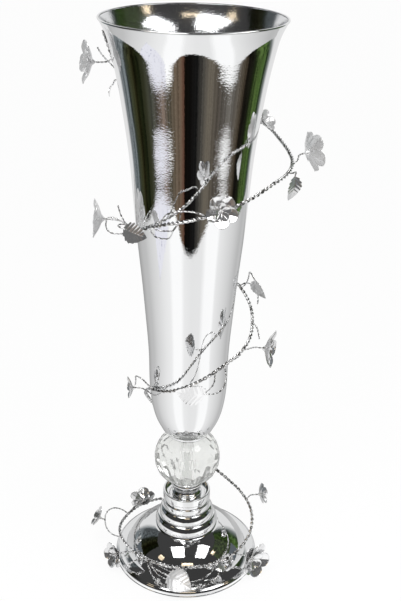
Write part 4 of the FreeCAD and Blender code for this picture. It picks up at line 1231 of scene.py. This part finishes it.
@dataclass
class Vine:
    """The wire vine: stems, twigs, bows, flowers and leaves."""

    route: VineRoute
    twig_radius: float = 1.0
    satin: tuple[str, ...] = ("flower_rim", "flower_upper_back", "flower_upper_right", "flower_upper_left",
                              "leaf_foot_front")
    spans: tuple[tuple[str, float, float], ...] = (
        ("vine_rim", -176.0, -20.0), ("vine_upper", -20.0, 140.0), ("vine_upper_back", 140.0, 310.0),
        ("vine_middle", 310.0, 525.0), ("vine_lower_back", 525.0, 665.0),
        ("vine_foot_back", 665.0, 735.0), ("vine_foot", 735.0, 966.0))
    twig_pitch: float = 0.011
    twig_step: float = 0.0013
    twig_sides: int = 6

    def __post_init__(self) -> None:
        """Write the tables of places."""
        by_trumpet, by_foot = self.route.by_trumpet, self.route.by_foot
        large, middle, small = 48.0, 36.0, 29.0
        loop = by_foot(906, 1.170, 0.80)
        self.flowers = [Stamping(*row) for row in (
            ("flower_rim", "vine_rim", -171, (0.8, 0.2, -0.6), by_trumpet(-177, 0.46, 0.929),
             large, (1.0, -0.33, 0.10)),
            ("flower_upper_back", "vine_rim", -50, (0.4, 0.5, 0.6), by_trumpet(-40, 0.80, 0.816),
             small, (0.22, 0.73, 0.60)),
            ("flower_upper_right", "vine_upper", 14, (0.7, -0.6, 0.4), by_trumpet(-2, 1.26, 0.7920),
             large, (1.0, -0.40, 0.08)),
            ("flower_upper_front", "vine_upper", 62, (0.8, 0.4, 0.3), by_trumpet(74, 0.93, 0.748),
             middle, (1.0, 0.05, 0.30)),
            ("flower_upper_left", "vine_upper_back", 168, (0.6, 0.5, 0.6), by_trumpet(179, 0.77, 0.679),
             large, (1.0, -0.10, 0.10)),
            ("flower_behind", "vine_upper_back", 262, (0.8, 0.3, 0.4), by_trumpet(272, 0.98, 0.605),
             large, (1.0, 0.10, 0.15)),
            ("flower_middle_right", "vine_middle", 392, (0.8, -0.6, 0.1), by_trumpet(374, 0.91, 0.461),
             large, (1.0, 0.02, -0.02)),
            ("flower_middle_left", "vine_middle", 484, (0.3, 0.6, -0.8), by_trumpet(527, 0.44, 0.374),
             small, (1.0, 0.05, 0.05)),
            ("flower_foot_high", "vine_foot_back", 704, (0.5, -0.1, 0.8), by_foot(711, 1.030, 1.63),
             small, (1.0, -0.15, -0.10)),
            ("flower_foot_right", "vine_foot", 760, (0.7, -0.6, -0.2), by_foot(747, 1.000, 0.47),
             large, (1.0, 0.45, 0.20)),
            ("flower_foot_left", "vine_foot", 868, (0.7, 0.5, 0.2), by_foot(877, 1.030, 0.46),
             middle, (1.0, -0.35, 0.20)),
            ("flower_foot_far_left", "vine_foot", loop, (1.0, -0.2, 0.3), by_foot(905.5, 1.225, 0.84),
             small, (0.86, -0.10, 0.50)),
            ("flower_foot_back", "vine_foot", 932, (0.2, 0.3, 0.9), by_foot(942, 0.860, 0.76),
             middle, (0.0, -0.25, 0.95)),
        )]
        long, usual, short = 39.0, 31.0, 17.0
        self.leaves = [Stamping(*row) for row in (
            ("leaf_rim", "vine_rim", -160, (0.6, -0.2, -0.7), by_trumpet(-163, 0.24, 0.893),
             short, (0.3, -0.2, -0.9), (0.9, -0.2, 0.3)),
            ("leaf_upper_right", "vine_upper", 24, (0.6, -0.2, -0.7), by_trumpet(18, 1.10, 0.776),
             usual, (-0.16, 0.06, -1.0), (0.90, 0.40, 0.1)),
            ("leaf_upper_left", "vine_upper_back", 150, (0.5, 0.6, 0.6), by_trumpet(145.4, 0.62, 0.692),
             usual, (-0.54, -0.80, -0.24), (0.80, -0.58, 0.14)),
            ("leaf_behind", "vine_upper_back", 228, (0.7, 0.2, -0.6), by_trumpet(238, 0.62, 0.592),
             usual, (0.55, 0.35, -0.75), (0.80, -0.2, 0.55)),
            ("leaf_middle_back", "vine_middle", 318, (0.9, -0.1, 0.05), by_trumpet(348, 0.50, 0.5660),
             usual, (0.45, 0.09, -0.89), (-0.68, 0.38, -0.35)),
            ("leaf_middle_front", "vine_middle", 416, (0.6, 0.0, -0.8), by_trumpet(436, 1.05, 0.4290),
             long, (0.0, 0.97, 0.20), (0.88, 0.0, -0.20)),
            ("leaf_lower_back", "vine_lower_back", 592, (0.7, 0.3, 0.6), by_foot(601, 0.830, 3.95),
             usual, (0.6, 0.3, 0.7), (0.75, 0.0, -0.65)),
            ("leaf_foot_side", "vine_foot", 764, (0.8, 0.5, 0.3), by_foot(774, 0.905, 0.68),
             short, (0.1, 0.9, 0.1), (0.7, 0.0, 0.7)),
            ("leaf_foot_front", "vine_foot", 846, (0.8, 0.0, 0.2), by_foot(827.3, 0.921, 0.60),
             long, (0.20, -0.95, -0.18), (0.55, 0.0, 0.84)),
        )]
        self.tendrils = [
            ("vine_rim", -166, (0.7, 0.4, 0.5), by_trumpet(-178, 0.30, 0.951), (0.2, -0.6, 0.7)),
            ("vine_upper_back", 176, (0.8, 0.3, 0.5), by_trumpet(188, 0.45, 0.695), (0.1, -0.4, 0.9)),
            ("vine_middle", 316, (0.8, 0.1, 0.4), by_trumpet(342.6, 0.77, 0.511), (-0.3, 0.35, -0.9)),
            ("vine_middle", 356, (0.7, 0.1, -0.6), by_trumpet(363.4, 0.78, 0.4655), (0.2, 0.2, -0.9)),
            ("vine_middle", 425, (0.6, 0.2, -0.7), by_trumpet(446, 0.44, 0.396), (0.0, 0.8, -0.5)),
            ("vine_foot", 852, (0.6, 0.3, 0.6), by_foot(866, 0.960, 0.36), (0.3, 0.7, -0.6)),
        ]
        self.bows = [
            ("vine_upper", 80, (0.5, 0.7, 0.5), by_trumpet(98, 0.60, 0.741), (0.0, 1.0, -0.15),
             118, (-0.4, 0.7, -0.6)),
            ("vine_upper", 98, (0.3, 0.7, -0.7), by_trumpet(115, 0.22, 0.683), (0.0, 1.0, -0.05),
             134, (0.2, 0.8, 0.5)),
            ("vine_upper_back", 152, (0.87, 0.50, -0.35), by_trumpet(168, 0.75, 0.6819), (-0.1, 0.1, 1.0),
             162, (-0.75, -0.27, -0.6)),
            ("vine_middle", 506, (0.5, 0.6, 0.4), by_trumpet(513, 0.405, 0.4077), (0.3, 0.95, 0.0),
             by_trumpet(526, 0.42, 0.380), (0.2, 0.2, -1.0)),
            ("vine_middle", 398, (0.8, 0.4, 0.4), by_trumpet(414, 0.72, 0.470), (0.0, 1.0, -0.25),
             430, (-0.6, 0.6, -0.5)),
            ("vine_foot", 775, (0.8, 0.4, -0.5), by_foot(812, 0.985, 0.325), (0.0, 1.0, 0.0),
             852, (-0.5, 0.7, 0.6)),
            ("vine_foot", 926, (0.9, 0.1, 0.5), loop, (0.0, -0.2, -1.0), 894, (-0.8, -0.3, 0.2)),
        ]

    def twig(self, root: float | Place, leaving: Direction, place: Place, ahead: Direction) -> list[Vector]:
        """Return the points of one twig.

        Args:
            root: a swing on the main stem, or a place on a bow.
            leaving: the way it leaves there.
            place: its end.
            ahead: the way it arrives.

        Returns:
            The points in mm.
        """
        on_bow = isinstance(root, tuple)
        start = around(*root) if on_bow else self.route.stem_point(root)
        return bend(start, heading(root[0] if on_bow else root, *leaving), around(*place),
                    heading(place[0], *ahead), 20)

    def bow(self, first: float, leaving: Direction, crest: Place, passing: Direction, last: float | Place,
            arriving: Direction) -> list[Vector]:
        """Return the points of one bow.

        Args:
            first: its root's swing on the main stem.
            leaving: the way it leaves there.
            crest: the place that it passes.
            passing: the way it passes.
            last: a swing on the main stem, or its end's place.
            arriving: the way it arrives there.

        Returns:
            The points in mm.
        """
        middle, there = around(*crest), heading(crest[0], *passing)
        free = isinstance(last, tuple)
        end = around(*last) if free else self.route.stem_point(last)
        half = bend(self.route.stem_point(first), heading(first, *leaving), middle, there, 16)
        return half + bend(middle, there, end, heading(last[0] if free else last, *arriving), 16)[1:]

    def wires(self) -> None:
        """Lay the twisted stems with their twigs, one piece for each length."""
        tree = twisted_wire_tree()
        paths: dict[str, list[list[Vector]]] = {name: [] for name, _, _ in self.spans}
        for row in self.flowers + self.leaves:
            paths[row.span].append(self.twig(row.root, row.leaving, row.place, row.ahead))
        for span, *row in self.tendrils:
            paths[span].append(self.twig(*row))
        for span, *row in self.bows:
            paths[span].append(self.bow(*row))
        radius = self.twig_radius * MM
        for name, first, last in self.spans:
            meshes = [tree.applied(chain_mesh(self.route.stem(first, last)))]
            meshes += [tree.applied(
                chain_mesh(path), Wire_Radius=radius * 0.6, Pair_Offset=radius * 0.45, Pitch=self.twig_pitch,
                Step=self.twig_step, Sides=self.twig_sides) for path in paths[name]]
            fit(make_object(name + "_wires", joined(name + "_wires", meshes), Finish.WIRE), "vine_chrome", name)

    def stampings(self) -> None:
        """Make the flowers, then the leaves."""
        tree = rosette_tree()
        for rows in (self.flowers, self.leaves):
            for number, row in enumerate(rows):
                swing, ahead = row.place[0], heading(row.place[0], *row.ahead)
                if row.facing:
                    mesh, facing = Leaf(row.size).build(), heading(swing, *row.facing)
                else:
                    mesh, facing = Flower(row.size, number).build(tree), Vector((0, 0, 1)).cross(ahead)
                mesh.transform(standing(around(*row.place), ahead, facing, row.facing is not None))
                finish = Finish.SATIN if row.node in self.satin else Finish.STAMPED
                fit(make_object(row.node + "_stamped", mesh, finish), "blossom_chrome", row.node)

    def build(self) -> None:
        """Make the whole vine."""
        self.wires()
        self.stampings()


def chain_mesh(points: Sequence[Vector]) -> bpy.types.Mesh:
    """Return a chain of edges through points given in mm."""
    return mesh_from("chain", [point * MM for point in points],
                     edges=[(n, n + 1) for n in range(len(points) - 1)])


def standing(place: Vector, ahead: Vector, facing: Vector, along_x: bool) -> Matrix:
    """Return the matrix that sets a shape at a place.

    Args:
        place: the place in mm.
        ahead: where the shape's own axis goes.
        facing: roughly where its other axis goes.
        along_x: True if its own axis is X, False if it is Z.

    Returns:
        The matrix, in metres.
    """
    side = facing.cross(ahead).normalized()
    square = ahead.cross(side).normalized()
    columns = (ahead, side, square) if along_x else (side, square, ahead)
    matrix = Matrix([[column[row] for column in columns] for row in range(3)]).to_4x4()
    matrix.translation = place * MM
    return matrix


@dataclass
class Flower:
    """A stamped double flower that faces up, with its back at the origin.

    Shares are shares of its width. A petal is half ball, half cone; its edge curls up, its tip turns down,
    its rim ripples and a crease runs along its middle.
    """

    width: float
    seed: int
    thickness: float = 0.55
    length_share: float = 0.49
    half_share: float = 0.205
    cup_share: float = 0.68
    cone_slope: float = 0.425
    lift_share: float = 0.06
    broadest: float = 0.62
    waist: float = 0.30
    side_bow: float = 0.04
    curl_share: float = 0.026
    tip_share: float = 0.022
    tip_length: float = 0.20
    ripple_share: float = 0.004
    ripples: float = 4.0
    crease_share: float = 0.010
    crease_width: float = 0.12
    bead_share: float = 0.026
    bead_rings: tuple[tuple[int, float, float], ...] = ((1, 0.0, 0.105), (6, 0.042, 0.085), (10, 0.075, 0.050))
    calyx_share: float = 0.075
    calyx_radius_share: float = 0.085
    foot_radius: float = 1.6
    inner_lift_share: float = 0.045

    def petal(self) -> bpy.types.Mesh:
        """Build one broad, cupped petal that points along X.

        Returns:
            The mesh.
        """
        width, cup = self.width, self.width * self.cup_share
        phase = np.random.default_rng(40 + self.seed).uniform(0, 6.28)

        def place(u: float, v: float) -> Place:
            """Return the point for shares along and across the petal.

            Args:
                u: share from foot to tip.
                v: share from edge to edge.

            Returns:
                The point in mm.
            """
            if u > self.broadest:
                shape = math.sqrt(max(0.0, 1 - ((u - self.broadest) / (1 - self.broadest)) ** 2))
            else:
                shape = self.waist + (1 - self.waist) * math.sin(u / self.broadest * math.pi / 2) ** 1.4
            x = width * self.length_share * u * (1 - self.side_bow * v * v)
            y = width * self.half_share * shape * v
            z = (cup - math.sqrt(cup * cup - x * x - y * y) + self.cone_slope * math.hypot(x, y)) / 2
            z += width * (self.lift_share + self.curl_share * v * v * math.sin(min(u, 0.85) * math.pi * 0.6)
                          - self.tip_share * max(0.0, (u - 1) / self.tip_length + 1) ** 2
                          + self.ripple_share * math.sin(self.ripples * v + phase) * u * u
                          - self.crease_share * math.exp(-(v / self.crease_width) ** 2)
                          * math.sin(u * math.pi * 0.8))
            return x, y, z

        return sheet("petal", [i / 24 for i in range(25)], [2 * j / 18 - 1 for j in range(19)], place,
                     self.thickness)

    def bud(self) -> bpy.types.Mesh:
        """Build the middle: a beaded bud over a short calyx.

        Returns:
            The mesh.
        """
        width, base = self.width, self.width * self.calyx_share
        mesh = bpy.data.meshes.new("bud")
        with bench(mesh) as work:
            for ring, (count, radius, lift) in enumerate(self.bead_rings):
                for number in range(count):
                    turn = TURN * (number + 0.5 * ring) / count
                    place = Vector((radius * width * math.cos(turn), radius * width * math.sin(turn),
                                    base * 0.4 + lift * width))
                    bmesh.ops.create_icosphere(work, subdivisions=2, radius=width * self.bead_share * MM,
                                               matrix=Matrix.Translation(place * MM))
            bmesh.ops.create_cone(work, cap_ends=True, segments=20, radius1=self.foot_radius * MM,
                                  radius2=width * self.calyx_radius_share * MM, depth=base * MM,
                                  matrix=Matrix.Translation(Vector((0, 0, base / 2)) * MM))
        return mesh

    def build(self, tree: Tree) -> bpy.types.Mesh:
        """Build the flower.

        Args:
            tree: the tree that sets petals round the middle.

        Returns:
            The mesh, facing up.
        """
        lift = self.width * self.inner_lift_share * MM
        layers = tree.applied(self.petal(), Inner_Lift=lift, Seed=self.seed)
        return shade(joined("flower", [layers, self.bud()]), 50)


@dataclass
class Leaf:
    """A stamped leaf that points along X and faces up, with its foot at the origin.

    Shares are shares of its length. The blade bends down to both ends, its edges curl up, and it has a
    sunk midrib and raised veins that slant to the tip.
    """

    length: float
    thickness: float = 0.6
    half_share: float = 0.40
    foot_share: float = 0.10
    bend_share: float = 1.1
    drop_share: float = 0.38
    curl_share: float = 0.045
    vein_share: float = 0.0075
    vein_slant: float = 0.20
    vein_width: float = 0.17
    veins: float = 8.0
    rib_share: float = 0.012
    rib_width: float = 0.020
    teeth: float = 17.0
    tooth_depth: float = 0.055
    stalk_share: float = 0.24
    stalk_radii: Point = (0.9, 0.6)
    edge_shares: tuple[Point, ...] = (
        (0.10, 0.10), (0.17, 0.62), (0.23, 0.58), (0.31, 0.92), (0.36, 0.84), (0.46, 1.00), (0.51, 0.89),
        (0.61, 0.88), (0.65, 0.76), (0.76, 0.64), (0.80, 0.51), (0.89, 0.34), (0.92, 0.24), (1.00, 0.0))

    def build(self) -> bpy.types.Mesh:
        """Build the blade with its midrib and veins, and its stalk.

        Returns:
            The mesh.
        """
        length, half, curve = self.length, self.length * self.half_share, self.length * self.bend_share
        drop = math.sqrt(curve ** 2 - (length * self.drop_share) ** 2) - curve
        stops, widths = zip(*self.edge_shares)

        def place(u: float, v: float) -> Place:
            """Return the point for shares along and across the blade.

            Args:
                u: share from foot to tip.
                v: share from edge to edge.

            Returns:
                The point in mm.
            """
            tooth = 1.0 + self.tooth_depth * (u * self.teeth % 1.0 - 0.5)
            x, y = length * u, max(half * float(np.interp(u, stops, widths)) * tooth, 0.02) * v
            aside = abs(y) / half
            z = math.sqrt(curve ** 2 - (x - length * 0.5) ** 2) - curve - drop
            slant = (u - aside * self.vein_slant) * self.veins % 1.0 - 0.5
            vein = math.exp(-(slant / self.vein_width) ** 2) * min(1.0, aside * 4) * min(1.0, (1 - u) * 5)
            rib = math.exp(-(y / (length * self.rib_width)) ** 2) * (1 - u) ** 0.5
            z += length * (self.curl_share * aside ** 2 + self.vein_share * vein - self.rib_share * rib)
            return x, y, z

        rows = [self.foot_share + (1 - self.foot_share) * i / 102 for i in range(103)]
        blade = sheet("blade", rows, [2 * j / 24 - 1 for j in range(25)], place, self.thickness)
        stalk = bpy.data.meshes.new("stalk")
        reach = length * self.stalk_share
        with bench(stalk) as work:
            bmesh.ops.create_cone(work, cap_ends=True, segments=12, radius1=self.stalk_radii[0] * MM,
                                  radius2=self.stalk_radii[1] * MM, depth=reach * MM,
                                  matrix=Matrix.Translation(Vector((reach / 2, 0, 0)) * MM)
                                  @ Matrix.Rotation(math.pi / 2, 4, "Y"))
        return shade(joined("leaf", [blade, stalk]), 50)


# ---- Pieces that keep their solids


@dataclass
class KeptSolids:
    """The solids whose own shape is right; each gets its finish."""

    finishes: tuple[tuple[Finish, tuple[str, ...]], ...] = (
        (Finish.FELT, ("felt_pad",)),
        (Finish.IRON, ("base_weight",)),
        (Finish.CRYSTAL, ("crystal_ball",)),
        (Finish.SPUN, ("centre_sleeve",)),
        (Finish.GASKET, ("ball_lower_gasket", "ball_upper_gasket")),
        (Finish.RUBBER, ("water_seal",)),
        (Finish.ZINC, ("tie_rod", "top_nut", "top_washer", "bottom_washer", "spring_washer", "bottom_nut")),
    )

    def build(self, nodes: dict[str, bpy.types.Object]) -> None:
        """Give each solid its material.

        Args:
            nodes: the frame's objects by node name.
        """
        for finish, names in self.finishes:
            for name in names:
                slots = nodes[name].data.materials
                slots.clear()
                slots.append(finish.material())
                LOG.info("%s keeps its solid", name)


# ---- Camera, light and room


@dataclass
class Camera:
    """The photograph's camera."""

    distance: float = 1.0120
    height: float = 0.8541
    pitch_degrees: float = 25.404
    yaw_degrees: float = 0.738
    roll_degrees: float = 1.163
    focal_pixels: float = 945.22
    frame_pixels: float = 601.0
    sensor: float = 36.0
    sight: float = 50.0

    def build(self) -> None:
        """Make the camera and use it."""
        pitch, yaw, roll = (math.radians(value) for value in
                            (self.pitch_degrees, self.yaw_degrees, self.roll_degrees))
        ahead = Vector((math.sin(yaw) * math.cos(pitch), math.cos(yaw) * math.cos(pitch), -math.sin(pitch)))
        right = Vector((math.cos(yaw), -math.sin(yaw), 0))
        upward = right.cross(ahead)
        across = right * math.cos(roll) + upward * math.sin(roll)
        above = upward * math.cos(roll) - right * math.sin(roll)
        data = bpy.data.cameras.new("camera")
        data.sensor_width = self.sensor
        data.lens = self.focal_pixels / self.frame_pixels * self.sensor
        data.clip_end = self.sight
        camera = bpy.data.objects.new("camera", data)
        matrix = Matrix((across, above, -ahead)).transposed().to_4x4()
        matrix.translation = Vector((0, -self.distance, self.height))
        camera.matrix_world = matrix
        bpy.context.scene.collection.objects.link(camera)
        bpy.context.scene.camera = camera


def azimuth(x: Socket, y: Socket) -> Socket:
    """Return the azimuth round the vase in degrees; 0 is towards the camera."""
    return x.angle_from(y * -1.0) / math.pi * 180.0


def card(name: str, points: Sequence, material: bpy.types.Material,
         faces: Sequence = ()) -> bpy.types.Object:
    """Make a thing of the stage, not of the vase.

    Args:
        name: its name.
        points: its points in metres.
        material: its material.
        faces: its faces; without them it is one face over all points.

    Returns:
        The object.
    """
    mesh = mesh_from(name, points, faces or [range(len(points))])
    mesh.materials.append(material)
    obj = make_object(name, mesh)
    return obj


def only_in_mirrors(obj: bpy.types.Object) -> None:
    """Hide an object from everything but glossy rays."""
    for ray in ("camera", "diffuse", "transmission", "shadow", "volume_scatter"):
        setattr(obj, "visible_" + ray, False)


def level_square(half: float, height: float) -> list[Place]:
    """Return the corners of a level square round the axis."""
    return [(x * half, y * half, height) for x, y in ((-1, -1), (1, -1), (1, 1), (-1, 1))]


def upright(left: Sequence[float], right: Sequence[float], low: float, high: float) -> list[Place]:
    """Return the corners of an upright card between two plan points and two heights."""
    return [(*left, low), (*right, low), (*right, high), (*left, high)]


@dataclass
class Studio:
    """The pale floor, the soft light and the dim room that the bright metal mirrors.

    Sizes are in metres. Azimuths are degrees round the vase; 0 is towards the camera.
    """

    floor_half: float = 6.0
    floor_tone: float = 0.88
    floor_glow: float = 0.88
    table_height: float = -0.0006
    table: tuple[Point, ...] = (
        (-0.96, 1.1), (-1.037, 0.073), (-1.052, -0.129), (-1.053, -0.262), (-1.06, -0.345), (-1.03, -0.459),
        (-0.939, -0.61), (-0.838, -0.703), (-0.742, -0.768), (-0.629, -0.835), (-0.52, -0.866),
        (-0.397, -0.852), (-0.294, -0.808), (-0.163, -0.768), (0, -0.755), (0.163, -0.768), (0.322, -0.797),
        (0.46, -0.797), (0.593, -0.787), (0.689, -0.765), (0.768, -0.716), (0.835, -0.677), (0.912, -0.615),
        (0.993, -0.528), (1.05, -0.424), (1.081, -0.31), (1.088, -0.192), (1.084, -0.038), (1.05, 0.35),
        (0.98, 1.1))
    # Painted light and shade of the table top: azimuth in degrees and glow level.
    painted_table_light: tuple[Point, ...] = (
        (-180, 0.30), (-158, 0.36), (-128, 0.54), (-112, 0.57), (-95, 0.70), (-80, 0.78), (-62, 0.88),
        (-47, 0.94), (-40, 1.08), (-20, 1.08), (-12, 0.92), (5, 0.87), (25, 0.88), (35, 1.07), (58, 1.08),
        (63, 0.90), (80, 0.80), (100, 0.69), (125, 0.52), (140, 0.56), (165, 0.34))
    cloth_edges: Point = (-0.66, -0.20)
    cloth_tone: Colour = (0.86, 0.86, 0.93, 1.0)
    print_tone: Colour = (0.22, 0.22, 0.38, 1.0)
    print_density: float = 22.0
    print_edges: Point = (0.60, 0.66)
    print_share: float = 0.6
    room_radius: float = 4.0
    room_floor: float = -3.2
    room_top: float = 4.6
    room_sides: int = 96
    end_levels: Point = (0.03, 0.05)
    side: Point = (86.0, 128.0)
    high_side: Point = (86.0, 133.0)
    high_side_shade: float = 0.40
    high_side_rise: Point = (1.0, 1.5)
    front_rise: Point = (-0.4, 0.2)
    fold_stretch: Point = (0.35, 0.12)
    fold_edges: Point = (0.30, 0.70)
    fold_shade_levels: Point = (0.9, 0.55)
    leaf_density: float = 3.2
    leaf_edges: Point = (0.38, 0.62)
    leaf_levels: Point = (1.3, 0.35)
    slate: Point = (94.0, 113.0)
    slate_heights: Point = (-0.9, 1.25)
    slate_tone: Colour = (0.11, 0.125, 0.14, 1.0)
    leafy: Point = (70.0, 110.0)
    leafy_rise: Point = (1.1, 1.3)
    leafy_tones: tuple[Colour, Colour] = (grey(0.02), (0.075, 0.105, 0.045, 1.0))
    dark: Colour = grey(0.045)
    softbox_level: float = 4.0
    softboxes: tuple[tuple[str, float, float, float, float, float], ...] = (
        ("softbox_left", -0.38, -0.042, -0.61, -0.19, 0.935),
        ("softbox_right", 0.303, 0.657, -0.61, -0.10, 0.935))
    warm_lamps: tuple[tuple[str, float, float, float, float], ...] = (
        ("warm_lamp_left", -59, 0.82, 2.85, 3.85), ("warm_lamp_middle", 4, 1.85, 3.0, 4.1),
        ("warm_lamp_right", 73.5, 0.62, 3.4, 4.1))
    warm_tone: Colour = (1.0, 0.82, 0.58, 1.0)
    warm_rise: Point = (3.5, 4.1)
    # The card of painted shade: two plan points, then its low and high edge.
    shade_card: tuple[Point, Point, float, float] = ((-0.25, -0.65), (0.35, -0.65), 1.0, 1.27)
    day_level: float = 0.93
    panorama: tuple[tuple[float, float, float, float], ...] = (
        (-180, 0.80, 0.80, 0.80), (-140, 0.80, 0.80, 0.80), (-134, 0.18, 0.20, 0.21),
        (-118, 0.20, 0.23, 0.24), (-114, 0.035, 0.042, 0.030), (-105, 0.038, 0.040, 0.018),
        (-99, 0.012, 0.011, 0.004), (-88, 0.012, 0.016, 0.006), (-80, 0.040, 0.042, 0.022),
        (-66, 0.078, 0.080, 0.065), (-56, 0.085, 0.065, 0.050), (-47, 0.26, 0.20, 0.16),
        (-40, 0.090, 0.080, 0.058), (-20, 0.16, 0.115, 0.080), (-14, 0.15, 0.075, 0.050),
        (-12.5, 0.004, 0.003, 0.002), (7.5, 0.008, 0.008, 0.008), (17, 0.080, 0.074, 0.064),
        (26, 0.155, 0.135, 0.105), (42, 0.080, 0.068, 0.056), (64, 0.15, 0.14, 0.125),
        (84, 0.080, 0.062, 0.042), (88, 0.010, 0.008, 0.006), (99, 0.009, 0.010, 0.006),
        (111, 0.075, 0.125, 0.035), (120, 0.075, 0.135, 0.035), (127, 0.045, 0.070, 0.034),
        (133, 0.19, 0.21, 0.205), (140, 0.80, 0.80, 0.80))

    @staticmethod
    def by_azimuth(surface: Surface, turn: Socket, stops: Iterable[tuple[float, Colour]]) -> Socket:
        """Return a colour that depends on the azimuth round the vase.

        Args:
            surface: the material.
            turn: the azimuth.
            stops: azimuths and their colours, in order.

        Returns:
            The colour.
        """
        places = [((degrees + 180) / 360, colour) for degrees, colour in stops]
        return surface.add("ShaderNodeValToRGB", {"stops": places}, {0: turn / 360 + 0.5})

    def floor(self) -> None:
        """Lay the pale floor that the camera sees."""
        surface = Surface("pale floor")
        seen = surface.add("ShaderNodeLightPath", output="Is Camera Ray")
        dull = surface.add("ShaderNodeBsdfDiffuse", inputs={"Color": grey(self.floor_tone)})
        white = surface.add("ShaderNodeEmission", inputs={"Color": grey(1.0), "Strength": 1.0})
        both = surface.add("ShaderNodeMixShader", inputs={0: seen * self.floor_glow, 1: dull, 2: white})
        floor = card("floor", level_square(self.floor_half, 0.0), surface.finish(both))
        floor.visible_glossy = False
        floor.visible_transmission = False

    def table_top(self) -> None:
        """Lay the glowing table top that only the metal mirrors, with painted light and shade that change round
        the vase and a printed cloth on one corner.
        """
        surface = Surface("table top")
        vector, x, y, _ = surface.place()
        # Painted light and shade: the table's glow level changes with the azimuth.
        tone = self.by_azimuth(surface, azimuth(x, y), ((turn, grey(level))
                                                        for turn, level in self.painted_table_light))
        marks = surface.noise(vector, self.print_density, 2.0, 0.6).ramped(*self.print_edges)
        printed = surface.mix(marks * self.print_share, self.cloth_tone, self.print_tone)
        cloth = x.under(self.cloth_edges[0]) * y.under(self.cloth_edges[1])
        only_in_mirrors(card("table_top", [(*corner, self.table_height) for corner in self.table],
                             surface.glowing(surface.mix(cloth, tone, printed))))

    def room(self) -> None:
        """Stand the dim room round the table, seen only in the metal; its glow is painted light and shade."""
        surface = Surface("dim room")
        vector, x, y, z = surface.place()
        turn = azimuth(x, y)
        away = turn.size()
        tone = self.by_azimuth(surface, turn, ((degrees, (*colour, 1.0))
                                               for degrees, *colour in self.panorama))
        # Painted shade: a fold pattern darkens the sides of the room.
        folds = surface.vector(turn * self.fold_stretch[0], z * self.fold_stretch[1], 0.0)
        folds = surface.noise(folds, 1.0, 3.0, 0.6).ramped(*self.fold_edges)
        leaves = surface.noise(vector, self.leaf_density, 4.0, 0.7).ramped(*self.leaf_edges)
        texture = surface.mix(away.between(*self.side), folds * self.fold_shade_levels[0] + self.fold_shade_levels[1],
                              leaves * self.leaf_levels[0] + self.leaf_levels[1])
        tone = surface.mix(away.under(self.side[1]), tone, texture, "MULTIPLY")
        # Painted shade: the front of the room darkens towards the top.
        tone = surface.mix(z.ramped(*self.front_rise) * away.under(self.side[0]), tone, self.dark)
        tone = surface.mix(z.ramped(*self.high_side_rise) * away.between(*self.high_side), tone,
                           grey(self.high_side_shade), "MULTIPLY")
        tone = surface.mix(z.ramped(*self.leafy_rise) * turn.between(*self.leafy), tone,
                           surface.mix(leaves, *self.leafy_tones))
        tone = surface.mix(away.between(*self.slate) * z.between(*self.slate_heights), tone, self.slate_tone)
        sides, heights = self.room_sides, (self.room_floor, self.room_top)
        turns = [TURN * number / sides for number in range(sides)]
        points = [(self.room_radius * math.sin(t), -self.room_radius * math.cos(t), height)
                  for height in heights for t in turns]
        faces = [(n, (n + 1) % sides, sides + (n + 1) % sides, sides + n) for n in range(sides)]
        only_in_mirrors(card("room", points, surface.glowing(tone), faces))
        # Painted shade: the room's floor and ceiling glow dimly.
        for name, height, level in zip(("room_floor", "room_ceiling"), heights, self.end_levels):
            only_in_mirrors(card(name, level_square(self.room_radius * 1.02, height),
                                 Surface(name).glowing(grey(level))))

    def lamps(self) -> None:
        """Hang two softboxes over the vase, and three warm lamps and a dark card of painted shade that only the
        metal mirrors.
        """
        for name, left, right, near, far, height in self.softboxes:
            light = bpy.data.lights.new(name, "AREA")
            light.shape = "RECTANGLE"
            light.size, light.size_y = right - left, far - near
            light.energy = self.softbox_level * math.pi * light.size * light.size_y
            lamp = bpy.data.objects.new(name, light)
            lamp.location = ((left + right) / 2, (near + far) / 2, height)
            bpy.context.scene.collection.objects.link(lamp)
        surface = Surface("warm lamp")
        warm = surface.glowing(self.warm_tone, surface.place()[3].ramped(*self.warm_rise) * 2.0 + 1.0)
        for name, degrees, width, low, high in self.warm_lamps:
            turn = math.radians(degrees)
            middle = Vector((math.sin(turn), -math.cos(turn))) * (self.room_radius - 0.1)
            aside = Vector((math.cos(turn), math.sin(turn))) * width / 2
            only_in_mirrors(card(name, upright(middle - aside, middle + aside, low, high), warm))
        # Painted shade: a dark card that hides the middle warm lamp from the trumpet's mouth.
        only_in_mirrors(card("shade_card", upright(*self.shade_card), Surface("dark screen").glowing(self.dark)))

    def sky(self) -> None:
        """Light the world evenly, and show it white to the camera and through the glass."""
        world = bpy.data.worlds.new("day")
        bpy.context.scene.world = world
        world.use_nodes = True
        graph = Graph(world.node_tree)
        rays = graph.add("ShaderNodeLightPath").link.node.outputs
        seen, mirrored, through = (Socket(graph, rays[f"Is {kind} Ray"]) for kind in
                                   ("Camera", "Glossy", "Transmission"))
        direct = seen.either(mirrored).either(through)
        light = graph.add("ShaderNodeBackground", inputs={
            "Color": grey(1.0), "Strength": direct * (1.0 - self.day_level) + self.day_level})
        graph.add("ShaderNodeOutputWorld", inputs={0: light})

    def build(self) -> None:
        """Set up the studio."""
        for step in (self.floor, self.table_top, self.room, self.lamps, self.sky):
            step()
        bpy.context.scene.view_settings.view_transform = "Standard"


def main() -> None:
    """Dress the vase."""
    logging.basicConfig(level=logging.INFO, format="%(message)s")
    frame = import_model()
    metal = TurnedMetal()
    metal.build()
    Vine(VineRoute(metal)).build()
    KeptSolids().build(frame["nodes"])
    Studio().build()
    Camera().build()


if __name__ == "__main__":
    main()
